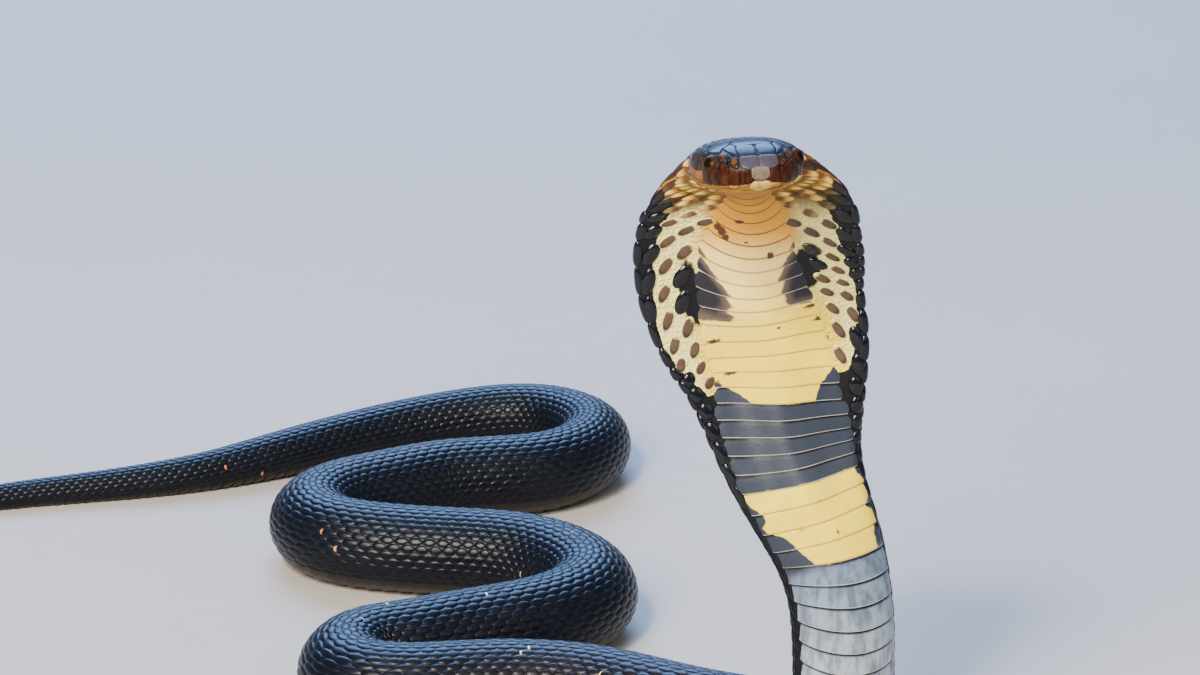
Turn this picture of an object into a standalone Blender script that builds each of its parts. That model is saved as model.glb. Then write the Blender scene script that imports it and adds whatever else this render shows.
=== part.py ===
# A monocled cobra at life size, still: neck raised with its hood spread, the body in bends on the floor.
import bmesh
import bpy
import numpy as np

MM = 0.001
OBJECT_NAME = "cobra"
GAP = 0.3  # mm between nodes that touch

# Centre line in mm, snout to the foot of the raised neck: x right, y away, z up
RAISED_ROUTE = [
    (-39.0, -56.0, 287.0), (-41.6, -40.0, 285.2), (-44.1, -22.0, 281.1), (-42.6, -2.0, 274.4),
    (-40.8, 12.0, 256.0), (-40.8, 18.0, 234.6), (-37.5, 22.0, 212.5), (-31.1, 23.0, 191.2),
    (-27.1, 21.0, 170.8), (-23.2, 18.0, 150.6), (-15.9, 14.0, 130.7), (-7.3, 10.0, 110.8),
    (-2.3, 7.0, 90.3), (-0.6, 7.5, 68.3), (-0.6, 12.0, 46.6), (-5.0, 24.0, 27.5),
]
# Centre line in mm along the floor, neck to tail tip: x, y
FLOOR_ROUTE = [
    (-19.0, 37.5), (-39.6, 47.0), (-64.7, 58.4), (-99.2, 77.5), (-137.1, 84.5), (-165.0, 81.5),
    (-185.0, 80.0), (-201.0, 86.0), (-208.0, 102.0), (-201.0, 118.3), (-185.0, 126.3),
    (-160.5, 137.5), (-122.0, 157.5), (-103.5, 187.5), (-127.0, 229.5), (-168.5, 242.0),
    (-204.0, 249.5), (-226.0, 262.0), (-234.0, 283.0), (-225.0, 304.0), (-204.0, 319.5),
    (-171.8, 337.0), (-124.0, 352.5), (-102.5, 393.0), (-128.0, 436.0), (-174.4, 438.0),
    (-212.0, 423.0), (-257.0, 396.0), (-297.1, 375.0), (-343.2, 361.0), (-390.6, 349.0),
    (-432.0, 333.0), (-468.0, 311.0), (-494.0, 283.0),
]
FLOOR_HEIGHT = 19.0  # mm, height of the centre line there before the belly is set on the floor
RISE_START, RISE_END = 300.0, 350.0  # mm from the snout, where the neck lifts off the floor
SINK = 0.6  # mm of the belly pressed flat on the floor
# Point of the route's own numbers that stands at the middle of the finished animal, on the floor
MIDDLE = np.array([-237.4, 199.6, 0.0])

# Sizes in mm: distance from the snout, half width, height of the back, depth of the belly
SIZES = np.array([
    (0.0, 0.0, 0.0, 0.0), (0.25, 3.9, 1.9, 2.2), (1.0, 7.4, 3.4, 4.2), (2.5, 10.4, 4.9, 5.8),
    (5.0, 13.2, 6.6, 7.2), (10.0, 16.4, 8.7, 8.3), (15.5, 18.4, 9.8, 8.8), (22.0, 19.8, 10.2, 9.3),
    (30.0, 20.5, 10.3, 9.8), (37.0, 20.7, 10.2, 10.0), (44.0, 20.6, 10.1, 9.9),
    (48.0, 22.4, 10.0, 9.7), (52.0, 26.2, 9.9, 9.3), (56.0, 30.0, 9.6, 8.9), (60.0, 32.9, 9.4, 8.5),
    (68.0, 37.4, 9.0, 8.0), (76.0, 40.8, 9.0, 8.0), (88.0, 43.3, 9.0, 8.0), (103.0, 44.8, 9.5, 8.5),
    (112.0, 44.6, 9.7, 8.9), (125.0, 42.9, 10.0, 9.5), (135.0, 41.5, 10.4, 9.9),
    (147.0, 39.3, 11.0, 10.5), (157.0, 36.4, 12.0, 11.2), (168.0, 33.4, 13.0, 12.0),
    (190.0, 28.6, 15.0, 14.0), (212.0, 24.8, 17.0, 16.0), (233.0, 22.4, 18.0, 17.0),
    (254.0, 21.0, 19.0, 18.5), (275.0, 20.8, 19.5, 19.0), (330.0, 20.3, 20.0, 19.0),
    (480.0, 20.8, 20.5, 19.5), (640.0, 21.3, 21.0, 20.0), (800.0, 20.8, 20.5, 19.5),
    (930.0, 20.3, 20.2, 19.3), (1040.0, 19.0, 19.0, 18.2), (1110.0, 16.8, 17.0, 16.2),
    (1180.0, 14.0, 14.2, 13.4), (1250.0, 11.9, 12.0, 11.3), (1300.0, 9.3, 9.5, 9.0),
    (1350.0, 7.5, 7.7, 7.2), (1400.0, 6.2, 6.3, 6.0), (1460.0, 3.9, 4.0, 3.8),
    (1500.0, 2.0, 2.1, 2.0), (1530.0, 0.9, 0.9, 0.9),
])

# How the hood is spread: rib reach by distance from the snout, 0 for a round neck and 1 for a full hood
HOOD_SPREAD = np.array([
    (48.0, 0.0), (60.0, 0.6), (78.0, 1.0), (150.0, 1.0), (200.0, 0.55), (255.0, 0.0), (1600.0, 0.0),
])
HOOD_EDGE = 0.34      # thickness at the rim, as a share of that at the spine
HOOD_CORE = 0.40      # width of the thick middle, as a share of the half width
HOOD_CURL = 7.0       # mm that the rim bends towards the belly side
HOOD_RIM_POWER = 8.0  # the higher, the blunter the rim
HEAD_BOX = 0.2        # how much squarer than an oval the head is in section

# Which way the belly faces: distance from the snout, turn to the right, dip below level, in degrees
BELLY_FACING = np.array([
    (0.0, 20.0, 80.0), (36.0, 20.0, 80.0), (46.0, 12.0, 76.0), (62.0, 0.0, 45.0),
    (80.0, 0.0, 12.0), (110.0, 0.0, 0.0), (160.0, 2.0, 0.0), (200.0, 12.0, 0.0),
    (240.0, 14.0, 0.0), (285.0, 12.0, 0.0), (315.0, 14.0, 25.0), (345.0, 20.0, 65.0),
    (375.0, 20.0, 90.0), (1600.0, 20.0, 90.0),
])

# Belly scutes: distance from the snout, length, reach to each side as a share of the half width, bow in mm
SCUTES = np.array([
    (45.0, 3.6, 0.42, 3.0), (65.0, 3.9, 0.29, 5.5), (76.0, 4.7, 0.265, 7.4), (83.0, 5.6, 0.32, 7.4),
    (90.0, 5.7, 0.366, 6.6), (97.0, 5.7, 0.40, 5.5), (111.0, 6.1, 0.47, 4.9), (119.0, 6.1, 0.505, 3.8),
    (125.0, 5.9, 0.535, 1.8), (136.0, 6.8, 0.594, 0.9), (151.0, 7.2, 0.65, 0.7), (167.3, 7.3, 0.775, 0.6),
    (189.0, 7.4, 0.92, 0.8), (210.0, 7.8, 0.955, 1.0), (250.0, 9.0, 0.975, 1.0), (320.0, 9.0, 0.96, 1.0),
])
SCUTE_PHASE = 167.3   # mm from the snout, where the hood's pale throat ends on the edge of a scute
SCUTE_RISE = 0.8      # mm that a scute's rear edge stands above the next one
SCUTE_STEP = 0.5      # mm along the belly over which it drops
SCUTE_FROM, SCUTE_TO = 4.0, 2.0  # mm between the ends of a node and its first and last scute
SCUTE_ENDS = (0.92, 1.06)        # share of a scute's reach over which its end sinks into the skin

# Lengths of the trunk: name, start and end in mm from the snout
HEAD_END = 50.0
HOOD_END = 205.0
NECK_END = 318.0
BODY_CUTS = [318.0, 440.0, 555.0, 700.0, 795.0, 887.0, 975.0, 1065.0, 1160.0, 1255.0]
TAIL_CUTS = [1255.0, 1380.0]
BODY_PITCH = 8.5      # mm between rings
HOOD_SIDES = 32
BODY_SIDES = 20
HEAD_SIDES = 36
HEAD_FRONT = [0.05, 0.25, 0.6, 1.1, 1.8, 2.7, 3.8]  # mm from the snout tip, rings of the blunt snout
HEAD_PITCH = 2.6      # mm between the rings behind it
HEAD_LAST = 2.0       # mm before the head's end without a ring
SHARP_EDGE = 35       # degrees

# Mouth, eyes and nostrils in mm: distance from the snout, to the side, up from the head's centre line
MOUTH_LINE = [(0.0, -2.2), (2.8, -3.8), (8.0, -4.4), (14.0, -4.7), (22.0, -4.6), (31.0, -3.2), (36.5, -2.0)]
MOUTH_BEND = 30.0     # mm from the snout, from where the jaw is also kept clear of the lip behind it
JAW_DROP = 0.36       # mm straight down from lip to jaw, enough for the gap where the line slopes
JAW_BACK = [(38.5, -5.6), (39.5, -9.6), (39.5, -16.0)]
JAW_BLOCK = 30.0      # mm, half width of the block that parts the jaw from the head
EYE_AT = (14.4, 15.1, 2.1)
EYE_RADIUS = 4.0
NOSTRIL_AT = (5.6, 11.3, 4.6)
NOSTRIL_RADIUS = 0.95
BALL_SIDES, BALL_RINGS = 16, 10

# Swellings and hollows of the head: distance from the snout, degrees down from the crown,
# spread along and round in mm, and height in mm
HEAD_FORMS = [
    (16.0, 54.0, 5.0, 1.9, 0.8),     # ridge over the eye
    (9.0, 66.0, 3.0, 2.2, -0.6),     # hollow between nostril and eye
    (30.0, 66.0, 7.5, 5.0, 0.6),     # jaw muscle behind the eye
    (19.0, 102.0, 10.0, 1.6, 0.4),   # swell of the upper lip
]
FORM_ROUND = 0.75     # distance round the head for each radian and mm of half width

# Head shields: outlines as (distance from the snout tip over the skin in mm, degrees down from the crown).
# Those in pairs are for the right side, the others reach across the middle.
MIDDLE_SHIELDS = {
    "rostral": [(2.6, -142), (3.2, -108), (3.3, -78), (3.4, -50), (4.2, -25), (3.1, 0), (4.2, 25),
                (3.4, 50), (3.3, 78), (3.2, 108), (2.6, 142)],
    "frontal": [(17.5, -16.5), (17.4, 0), (17.5, 16.5), (22.6, 19), (28.0, 12), (31.2, 0), (28.0, -12),
                (22.6, -19)],
}
PAIRED_SHIELDS = {
    "internasal": [(3.8, 5), (5.0, 24), (4.8, 40), (8.1, 45), (11.0, 25), (8.3, 3)],
    "prefrontal": [(9.2, 3), (11.9, 23), (15.5, 21), (18.3, 16.5), (16.7, 2)],
    "brow": [(21.3, 43), (22.7, 36), (23.6, 23), (28.6, 16), (33.7, 29), (32.5, 49), (27.0, 52)],
    "parietal": [(32.5, 3.5), (29.5, 15), (34.8, 29.5), (36.3, 39), (41.0, 37), (44.0, 20), (41.7, 3)],
    "lip_1": [(4.2, 52), (3.9, 82), (3.7, 108), (5.0, 138), (8.0, 124), (7.4, 88), (8.0, 52)],
    "lip_2": [(8.3, 88), (8.9, 63), (12.6, 63), (12.4, 90), (12.4, 117), (8.9, 122)],
    "lip_3": [(13.2, 64), (17.6, 66), (17.4, 92), (17.5, 115), (13.3, 117)],
    "lip_4": [(18.2, 92), (18.6, 82), (22.5, 88), (22.6, 114), (18.3, 115)],
    "lip_5": [(23.2, 88.5), (28.4, 91), (28.4, 112), (23.4, 114)],
    "lip_6": [(29.0, 91), (34.3, 92), (34.7, 109), (29.2, 112)],
    "lip_7": [(35.0, 92), (40.8, 89), (44.3, 88), (41.2, 100), (35.5, 108)],
}
SHIELD_RISE = 0.45    # mm
SHIELD_ROOT = 0.9     # mm sunk in the head
SHIELD_BEVEL = 0.5    # mm
SHIELD_SHOULDER = 0.4  # share of the rise at the foot of the bevel


def tidy_start():
    for thing in list(bpy.data.objects):
        bpy.data.objects.remove(thing, do_unlink=True)


def collection(name):
    group = bpy.data.collections.new(name)
    bpy.context.scene.collection.children.link(group)
    return group


def material(name, colour, roughness):
    """Principled material; colour is linear red, green and blue."""
    made = bpy.data.materials.new(name)
    made.use_nodes = True
    shader = made.node_tree.nodes["Principled BSDF"]
    shader.inputs["Base Color"].default_value = (*colour, 1.0)
    shader.inputs["Roughness"].default_value = roughness
    shader.inputs["Metallic"].default_value = 0.0
    made.diffuse_color = (*colour, 1.0)
    return made


def natural_spline(knots, points, reads):
    """Smooth curve through points at knots, read at reads."""
    count = len(knots)
    step = np.diff(knots)
    system = np.eye(count)
    right_side = np.zeros((count, points.shape[1]))
    slope = np.diff(points, axis=0) / step[:, None]
    for i in range(1, count - 1):
        system[i, i - 1:i + 2] = step[i - 1], 2 * (step[i - 1] + step[i]), step[i]
        right_side[i] = 6 * (slope[i] - slope[i - 1])
    bend = np.linalg.solve(system, right_side)
    span = np.clip(np.searchsorted(knots, reads, side="right") - 1, 0, count - 2)
    width = step[span][:, None]
    left = ((knots[span + 1] - reads) / step[span])[:, None]
    right = 1 - left
    straight = left * points[span] + right * points[span + 1]
    return straight + ((left**3 - left) * bend[span] + (right**3 - right) * bend[span + 1]) * width**2 / 6


def read_table(table, along):
    """Columns of a table at a distance along, on a curve that never overshoots its rows."""
    knots, rows = table[:, 0], table[:, 1:]
    step = np.diff(knots)
    slope = np.diff(rows, axis=0) / step[:, None]
    tangent = np.zeros_like(rows)
    product = slope[:-1] * slope[1:]
    total = slope[:-1] + slope[1:]
    tangent[1:-1] = np.where(product > 0, 2 * product / np.where(total == 0, 1, total), 0)
    tangent[0], tangent[-1] = slope[0], slope[-1]
    along = np.clip(np.asarray(along, float), knots[0], knots[-1])
    span = np.clip(np.searchsorted(knots, along, side="right") - 1, 0, len(step) - 1)
    width = step[span]
    part = ((along - knots[span]) / width)[..., None]
    width = width[..., None]
    start, end = rows[span], rows[span + 1]
    blend = part * part * (3 - 2 * part)
    pull = part * (1 - part) * ((1 - part) * tangent[span] - part * tangent[span + 1]) * width
    return start + (end - start) * blend + pull


def smooth_step(low, high, value):
    part = np.clip((value - low) / (high - low), 0, 1)
    return part * part * (3 - 2 * part)


def trace_centre_line():
    """Distance from the snout, centre line, and the directions to the snake's side and back."""
    floor = [(x, y, FLOOR_HEIGHT) for x, y in FLOOR_ROUTE]
    knots = np.array(RAISED_ROUTE + floor)
    chord = np.concatenate([[0], np.cumsum(np.linalg.norm(np.diff(knots, axis=0), axis=1))])
    line = natural_spline(chord, knots, np.linspace(0, chord[-1], 6001))
    along = np.concatenate([[0], np.cumsum(np.linalg.norm(np.diff(line, axis=0), axis=1))])
    belly_depth = read_table(SIZES, along)[:, 2]
    on_floor = smooth_step(RISE_START, RISE_END, along)
    line[:, 2] += on_floor * (belly_depth - SINK - line[:, 2])
    tailward = np.gradient(line, along, axis=0)
    tailward /= np.linalg.norm(tailward, axis=1)[:, None]
    turn, dip = np.radians(read_table(BELLY_FACING, along)).T
    belly = np.stack([np.sin(turn) * np.cos(dip), -np.cos(turn) * np.cos(dip), -np.sin(dip)], axis=1)
    belly -= np.sum(belly * tailward, axis=1)[:, None] * tailward
    belly /= np.linalg.norm(belly, axis=1)[:, None]
    return along, line - MIDDLE, np.cross(belly, tailward), -belly


ALONG, CENTRE, SIDE, BACK = trace_centre_line()
LENGTH = ALONG[-1]


def at(values, along):
    """Rows of a traced array at any distance from the snout."""
    return np.stack([np.interp(along, ALONG, values[:, i]) for i in range(3)], axis=-1)


def place(along, across, up):
    """Point at a distance from the snout, to the side and up from the centre line, in mm."""
    along, across, up = np.broadcast_arrays(along, across, up)
    point = at(CENTRE, along) + across[..., None] * at(SIDE, along) + up[..., None] * at(BACK, along)
    point[..., 2] = np.maximum(point[..., 2], 0.0)
    return point


def section(along, angle):
    """Side and up of the skin; angle runs from 0 at the right side over the back to the left."""
    half_width, back, belly = np.moveaxis(read_table(SIZES, along), -1, 0)
    spread = read_table(HOOD_SPREAD, along)[..., 0]
    cos, sin = np.cos(angle), np.sin(angle)
    boxy = 1 - HEAD_BOX * (1 - smooth_step(40, 60, along))
    share = np.sign(cos) * np.abs(cos)**boxy
    round_height = np.abs(sin)**boxy
    core = HOOD_EDGE + (1 - HOOD_EDGE) * np.exp(-(share / HOOD_CORE)**2)
    rim = np.sqrt(np.clip(1 - np.abs(share)**HOOD_RIM_POWER, 0, 1))
    height = (1 - spread) * round_height + spread * core * rim
    up = np.where(sin > 0, back, -belly) * height - spread * HOOD_CURL * share**2
    return half_width * share, up


def skin(along, angle, lift=0.0):
    """Points of the skin, pushed out by lift on the belly side."""
    along, angle = np.broadcast_arrays(np.asarray(along, float), np.asarray(angle, float))
    across, up = section(along, angle)
    return place(along, across, up - lift)


def belly_reach(along, angle):
    """1 inside the belly scutes, falling to 0 at their ends, and how far across a scute the point is."""
    across, _ = section(along, angle)
    half_width = read_table(SIZES, along)[..., 0]
    reach = read_table(SCUTES, along)[..., 1] * half_width
    share = np.abs(across) / reach
    inside = np.where(np.sin(angle) < 0, 1 - smooth_step(*SCUTE_ENDS, share), 0)
    return inside, np.minimum(share, 1.0)


def scute_edges(start, end):
    """Distances from the snout of the scutes' rear edges between start and end."""
    edges = [SCUTE_PHASE]
    while edges[-1] < end:
        edges.append(edges[-1] + read_table(SCUTES, edges[-1])[0])
    while edges[0] > start:
        edges.insert(0, edges[0] - read_table(SCUTES, edges[0])[0])
    return [edge for edge in edges if start < edge < end]


def mesh_object(name, rings, group, look):
    """Closed body lofted through rings of as many points each, capped flat at both ends."""
    shell = bmesh.new()
    rows = [[shell.verts.new(point * MM) for point in ring] for ring in rings]
    sides = len(rows[0])
    for front, rear in zip(rows, rows[1:]):
        for i in range(sides):
            j = (i + 1) % sides
            shell.faces.new((front[i], front[j], rear[j], rear[i]))
    shell.faces.new(rows[0][::-1])
    shell.faces.new(rows[-1])
    bmesh.ops.triangulate(shell, faces=shell.faces[:])
    bmesh.ops.recalc_face_normals(shell, faces=shell.faces[:])
    if shell.calc_volume(signed=True) < 0:
        bmesh.ops.reverse_faces(shell, faces=shell.faces[:])
    mesh = bpy.data.meshes.new(name)
    shell.to_mesh(mesh)
    shell.free()
    if look:
        mesh.materials.append(look)
    made = bpy.data.objects.new(name, mesh)
    group.objects.link(made)
    made.data.shade_smooth()
    made.data.set_sharp_from_angle(angle=np.radians(SHARP_EDGE))
    return made


def end_ring(cut, angles, side):
    """Flat ring at a cut, half a gap to the given side of it, so that two nodes meet face to face."""
    across, up = section(np.full_like(angles, cut), angles)
    tailward = np.cross(at(BACK, cut), at(SIDE, cut))
    ring = place(cut, across, up) + side * GAP / 2 * tailward
    ring[:, 2] = np.maximum(ring[:, 2], 0.0)
    return ring


def plain_length(name, start, end, group, look):
    """A length of trunk with an even skin."""
    angles = np.linspace(0, 2 * np.pi, BODY_SIDES, endpoint=False) + np.pi / BODY_SIDES
    count = max(2, round((end - start) / BODY_PITCH))
    rings = [end_ring(start, angles, 1)]
    rings += [skin(along, angles) for along in np.linspace(start, end, count + 1)[1:-1]]
    rings.append(end_ring(end, angles, -1) if end < LENGTH else skin(end, angles))
    return mesh_object(name, rings, group, look)


def scuted_length(name, start, end, sides, group, look):
    """A length of trunk whose belly scutes stand out, each with its rear edge over the next."""
    angles = np.linspace(0, 2 * np.pi, sides, endpoint=False) + np.pi / sides
    rings = [end_ring(start, angles, 1)]
    for edge in scute_edges(start + SCUTE_FROM, end - SCUTE_TO):
        inside, share = belly_reach(np.full(sides, edge), angles)
        bow = read_table(SCUTES, edge)[2] * share**2 * (np.sin(angles) < 0)
        for offset, lift in ((0.0, SCUTE_RISE), (SCUTE_STEP, 0.0)):
            rings.append(skin(edge - bow + offset, angles, lift * inside))
    rings.append(end_ring(end, angles, -1))
    return mesh_object(name, rings, group, look)


def head_forms(along, angle):
    """Height in mm of the head's swellings and hollows."""
    half_width = read_table(SIZES, along)[..., 0]
    down = 90 - np.degrees(np.arctan2(np.sin(angle), np.abs(np.cos(angle))))
    height = np.zeros_like(along)
    for middle, turn, reach, spread, rise in HEAD_FORMS:
        round_off = np.radians(down - turn) * FORM_ROUND * half_width
        height += rise * np.exp(-((along - middle) / reach)**2 - (round_off / spread)**2)
    return height


def head_skin(along, angle, lift=0.0):
    """Points of the head's skin, pushed out by lift in mm."""
    along, angle = np.broadcast_arrays(np.asarray(along, float), np.asarray(angle, float))
    across, up = section(along, angle)
    size = np.hypot(across, up) + 1e-6
    out = head_forms(along, angle) + lift
    return place(along, across * (1 + out / size), up * (1 + out / size))


def along_at(reach, turn):
    """Distance along the centre line of a point at a distance over the skin from the snout tip."""
    stops = np.concatenate([np.linspace(0, 1, 25)**2, np.arange(1.25, HEAD_END, 0.25)])
    line = head_skin(stops, np.radians(90 - turn))
    over = np.concatenate([[0], np.cumsum(np.linalg.norm(np.diff(line, axis=0), axis=1))])
    return np.interp(reach, over, stops)


def head_point(reach, turn, lift):
    """Skin point at a distance over the skin from the snout tip and degrees down from the crown."""
    along = along_at(reach, turn)
    angle = np.radians(90 - turn)
    spot, ahead, beside = head_skin(np.array([along, along + 0.2, along]), angle - np.array([0, 0, 0.02]))
    normal = np.cross(beside - spot, ahead - spot)
    return spot + normal / np.linalg.norm(normal) * lift


def head_body(name, group, look):
    """The whole head as one loft, before the jaw is parted from it."""
    angles = np.linspace(0, 2 * np.pi, HEAD_SIDES, endpoint=False) + np.pi / HEAD_SIDES
    rear = np.arange(HEAD_FRONT[-1] + HEAD_PITCH / 2, HEAD_END - HEAD_LAST, HEAD_PITCH)
    stops = np.concatenate([HEAD_FRONT, rear])
    rings = [head_skin(along, angles) for along in stops]
    rings.append(end_ring(HEAD_END, angles, -1))
    return mesh_object(name, rings, group, look)


def shield_plate(name, outline, group):
    """Low plate with a bevelled rim, its root sunk in the head."""
    polar = np.array(outline, float)
    flat = polar[:, :1] * np.stack([np.sin(np.radians(polar[:, 1])), np.cos(np.radians(polar[:, 1]))], 1)
    middle = flat.mean(axis=0)
    rings = []
    shoulder = SHIELD_RISE * SHIELD_SHOULDER
    for inset, lift in ((0.0, -SHIELD_ROOT), (0.0, shoulder), (SHIELD_BEVEL, SHIELD_RISE)):
        gap = flat - middle
        size = np.linalg.norm(gap, axis=1)[:, None]
        moved = middle + gap * (1 - inset / size)
        reach = np.linalg.norm(moved, axis=1)
        turn = np.degrees(np.arctan2(moved[:, 0], moved[:, 1]))
        rings.append([head_point(r, t, lift) for r, t in zip(reach, turn)])
    return mesh_object(name, rings, group, None)


def join_into(body, pieces, name):
    """One Boolean union of closed pieces with the body; the pieces are then removed."""
    group = bpy.data.collections.new(name)
    for piece in pieces:
        group.objects.link(piece)
    change = body.modifiers.new(name, "BOOLEAN")
    change.operand_type = "COLLECTION"
    change.collection = group
    change.operation = "UNION"
    change.solver = "MANIFOLD"
    settle(body)
    for piece in pieces:
        bpy.data.objects.remove(piece, do_unlink=True)
    bpy.data.collections.remove(group)


def settle(body):
    """Apply the modifiers and keep the largest closed surface."""
    reader = bpy.context.evaluated_depsgraph_get()
    mesh = bpy.data.meshes.new_from_object(body.evaluated_get(reader))
    body.modifiers.clear()
    body.data = mesh
    shell = bmesh.new()
    shell.from_mesh(mesh)
    bmesh.ops.dissolve_degenerate(shell, edges=shell.edges[:], dist=1e-6)
    bmesh.ops.triangulate(shell, faces=shell.faces[:])
    left = set(shell.verts)
    islands = []
    while left:
        front = [left.pop()]
        island = set(front)
        while front:
            near = [edge.other_vert(vert) for vert in front for edge in vert.link_edges]
            front = [vert for vert in set(near) if vert in left]
            left.difference_update(front)
            island.update(front)
        islands.append(island)
    largest = max(islands, key=len)
    bmesh.ops.delete(shell, geom=[vert for vert in shell.verts if vert not in largest], context="VERTS")
    shell.to_mesh(mesh)
    shell.free()


def side_block(name, outline, half_width, group):
    """Block right across the head whose side view is the outline of (along, up) points."""
    shell = bmesh.new()
    walls = []
    for across in (-half_width, half_width):
        walls.append([shell.verts.new(place(a, across, u) * MM) for a, u in outline])
    count = len(outline)
    for i in range(count):
        j = (i + 1) % count
        shell.faces.new((walls[0][i], walls[0][j], walls[1][j], walls[1][i]))
    shell.faces.new(walls[0][::-1])
    shell.faces.new(walls[1])
    bmesh.ops.triangulate(shell, faces=shell.faces[:])
    bmesh.ops.recalc_face_normals(shell, faces=shell.faces[:])
    mesh = bpy.data.meshes.new(name)
    shell.to_mesh(mesh)
    shell.free()
    block = bpy.data.objects.new(name, mesh)
    group.objects.link(block)
    block.hide_render = True
    block.display_type = "WIRE"
    return block


def ball(name, along, across, up, radius, group, look=None):
    spot = place(along, across, up) * MM
    bpy.ops.mesh.primitive_uv_sphere_add(
        segments=BALL_SIDES, ring_count=BALL_RINGS, radius=radius * MM, location=spot)
    made = bpy.context.object
    made.name = name
    for home in list(made.users_collection):
        home.objects.unlink(made)
    group.objects.link(made)
    if look:
        made.data.materials.append(look)
        made.data.shade_smooth()
    else:
        made.hide_render = True
        made.display_type = "WIRE"
    return made


def cut(thing, cutter, operation="DIFFERENCE"):
    change = thing.modifiers.new(cutter.name, "BOOLEAN")
    change.operation = operation
    change.solver = "EXACT"
    change.object = cutter


def jaw_outline(shift):
    """Side view of the lower jaw, with its upper and rear edges moved down and forward by shift."""
    line = [(along - shift * (along > MOUTH_BEND), up - shift) for along, up in MOUTH_LINE]
    rear = [(along - shift, up) for along, up in JAW_BACK]
    return line + rear + [(MOUTH_LINE[0][0], JAW_BACK[-1][1])]


def head_shields(group):
    """Plates of the crown and the upper lip, both sides."""
    plates = [shield_plate(name, outline, group) for name, outline in MIDDLE_SHIELDS.items()]
    for name, outline in PAIRED_SHIELDS.items():
        mirrored = [(reach, -turn) for reach, turn in outline]
        plates.append(shield_plate(name + "_right", outline, group))
        plates.append(shield_plate(name + "_left", mirrored, group))
    return plates


def head_nodes(group, cutters, skin_look, eye_look):
    head = head_body("head", group, skin_look)
    jaw = head_body("lower_jaw", group, skin_look)
    cut(jaw, side_block("jaw_keep", jaw_outline(JAW_DROP), JAW_BLOCK, cutters), "INTERSECT")
    join_into(head, head_shields(group), "shields")
    cut(head, side_block("jaw_space", jaw_outline(0.0), JAW_BLOCK, cutters))
    for name, side in (("left", -1), ("right", 1)):
        along, across, up = EYE_AT
        ball("eye_" + name, along, side * across, up, EYE_RADIUS, group, eye_look)
        cut(head, ball("socket_" + name, along, side * across, up, EYE_RADIUS + GAP, cutters))
        along, across, up = NOSTRIL_AT
        cut(head, ball("nostril_" + name, along, side * across, up, NOSTRIL_RADIUS, cutters))


def trunk_nodes(group, looks):
    scuted_length("hood", HEAD_END, HOOD_END, HOOD_SIDES, group, looks["hood"])
    scuted_length("neck", HOOD_END, NECK_END, BODY_SIDES + 4, group, looks["hood"])
    for i, (start, end) in enumerate(zip(BODY_CUTS, BODY_CUTS[1:]), 1):
        plain_length(f"body_{i:02d}", start, end, group, looks["back"])
    plain_length("tail_root", TAIL_CUTS[0], TAIL_CUTS[1], group, looks["back"])
    plain_length("tail_tip", TAIL_CUTS[1], LENGTH, group, looks["back"])


def main():
    tidy_start()
    group = collection(OBJECT_NAME)
    cutters = collection("cutters")
    looks = {
        "hood": material("hood_skin", (0.62, 0.45, 0.20), 0.4),
        "back": material("back_skin", (0.010, 0.012, 0.020), 0.35),
    }
    head_nodes(group, cutters, material("head_skin", (0.05, 0.04, 0.04), 0.35),
               material("eye", (0.02, 0.012, 0.008), 0.08))
    trunk_nodes(group, looks)


main()
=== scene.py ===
import bpy
import bmesh
import numpy as np
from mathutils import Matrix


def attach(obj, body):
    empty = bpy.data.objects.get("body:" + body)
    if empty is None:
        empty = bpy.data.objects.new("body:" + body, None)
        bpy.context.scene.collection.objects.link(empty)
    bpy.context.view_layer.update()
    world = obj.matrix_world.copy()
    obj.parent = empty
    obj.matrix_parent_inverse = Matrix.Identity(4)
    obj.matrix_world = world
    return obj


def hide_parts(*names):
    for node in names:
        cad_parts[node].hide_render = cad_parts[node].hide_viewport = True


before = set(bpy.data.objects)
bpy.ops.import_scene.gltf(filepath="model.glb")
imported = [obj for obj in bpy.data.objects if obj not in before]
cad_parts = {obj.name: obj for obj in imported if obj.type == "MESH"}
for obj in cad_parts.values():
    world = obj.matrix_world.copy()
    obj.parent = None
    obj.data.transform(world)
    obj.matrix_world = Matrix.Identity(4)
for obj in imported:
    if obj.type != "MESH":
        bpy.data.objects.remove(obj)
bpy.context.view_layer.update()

mm = 0.001
random = np.random.default_rng(7)

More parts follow.
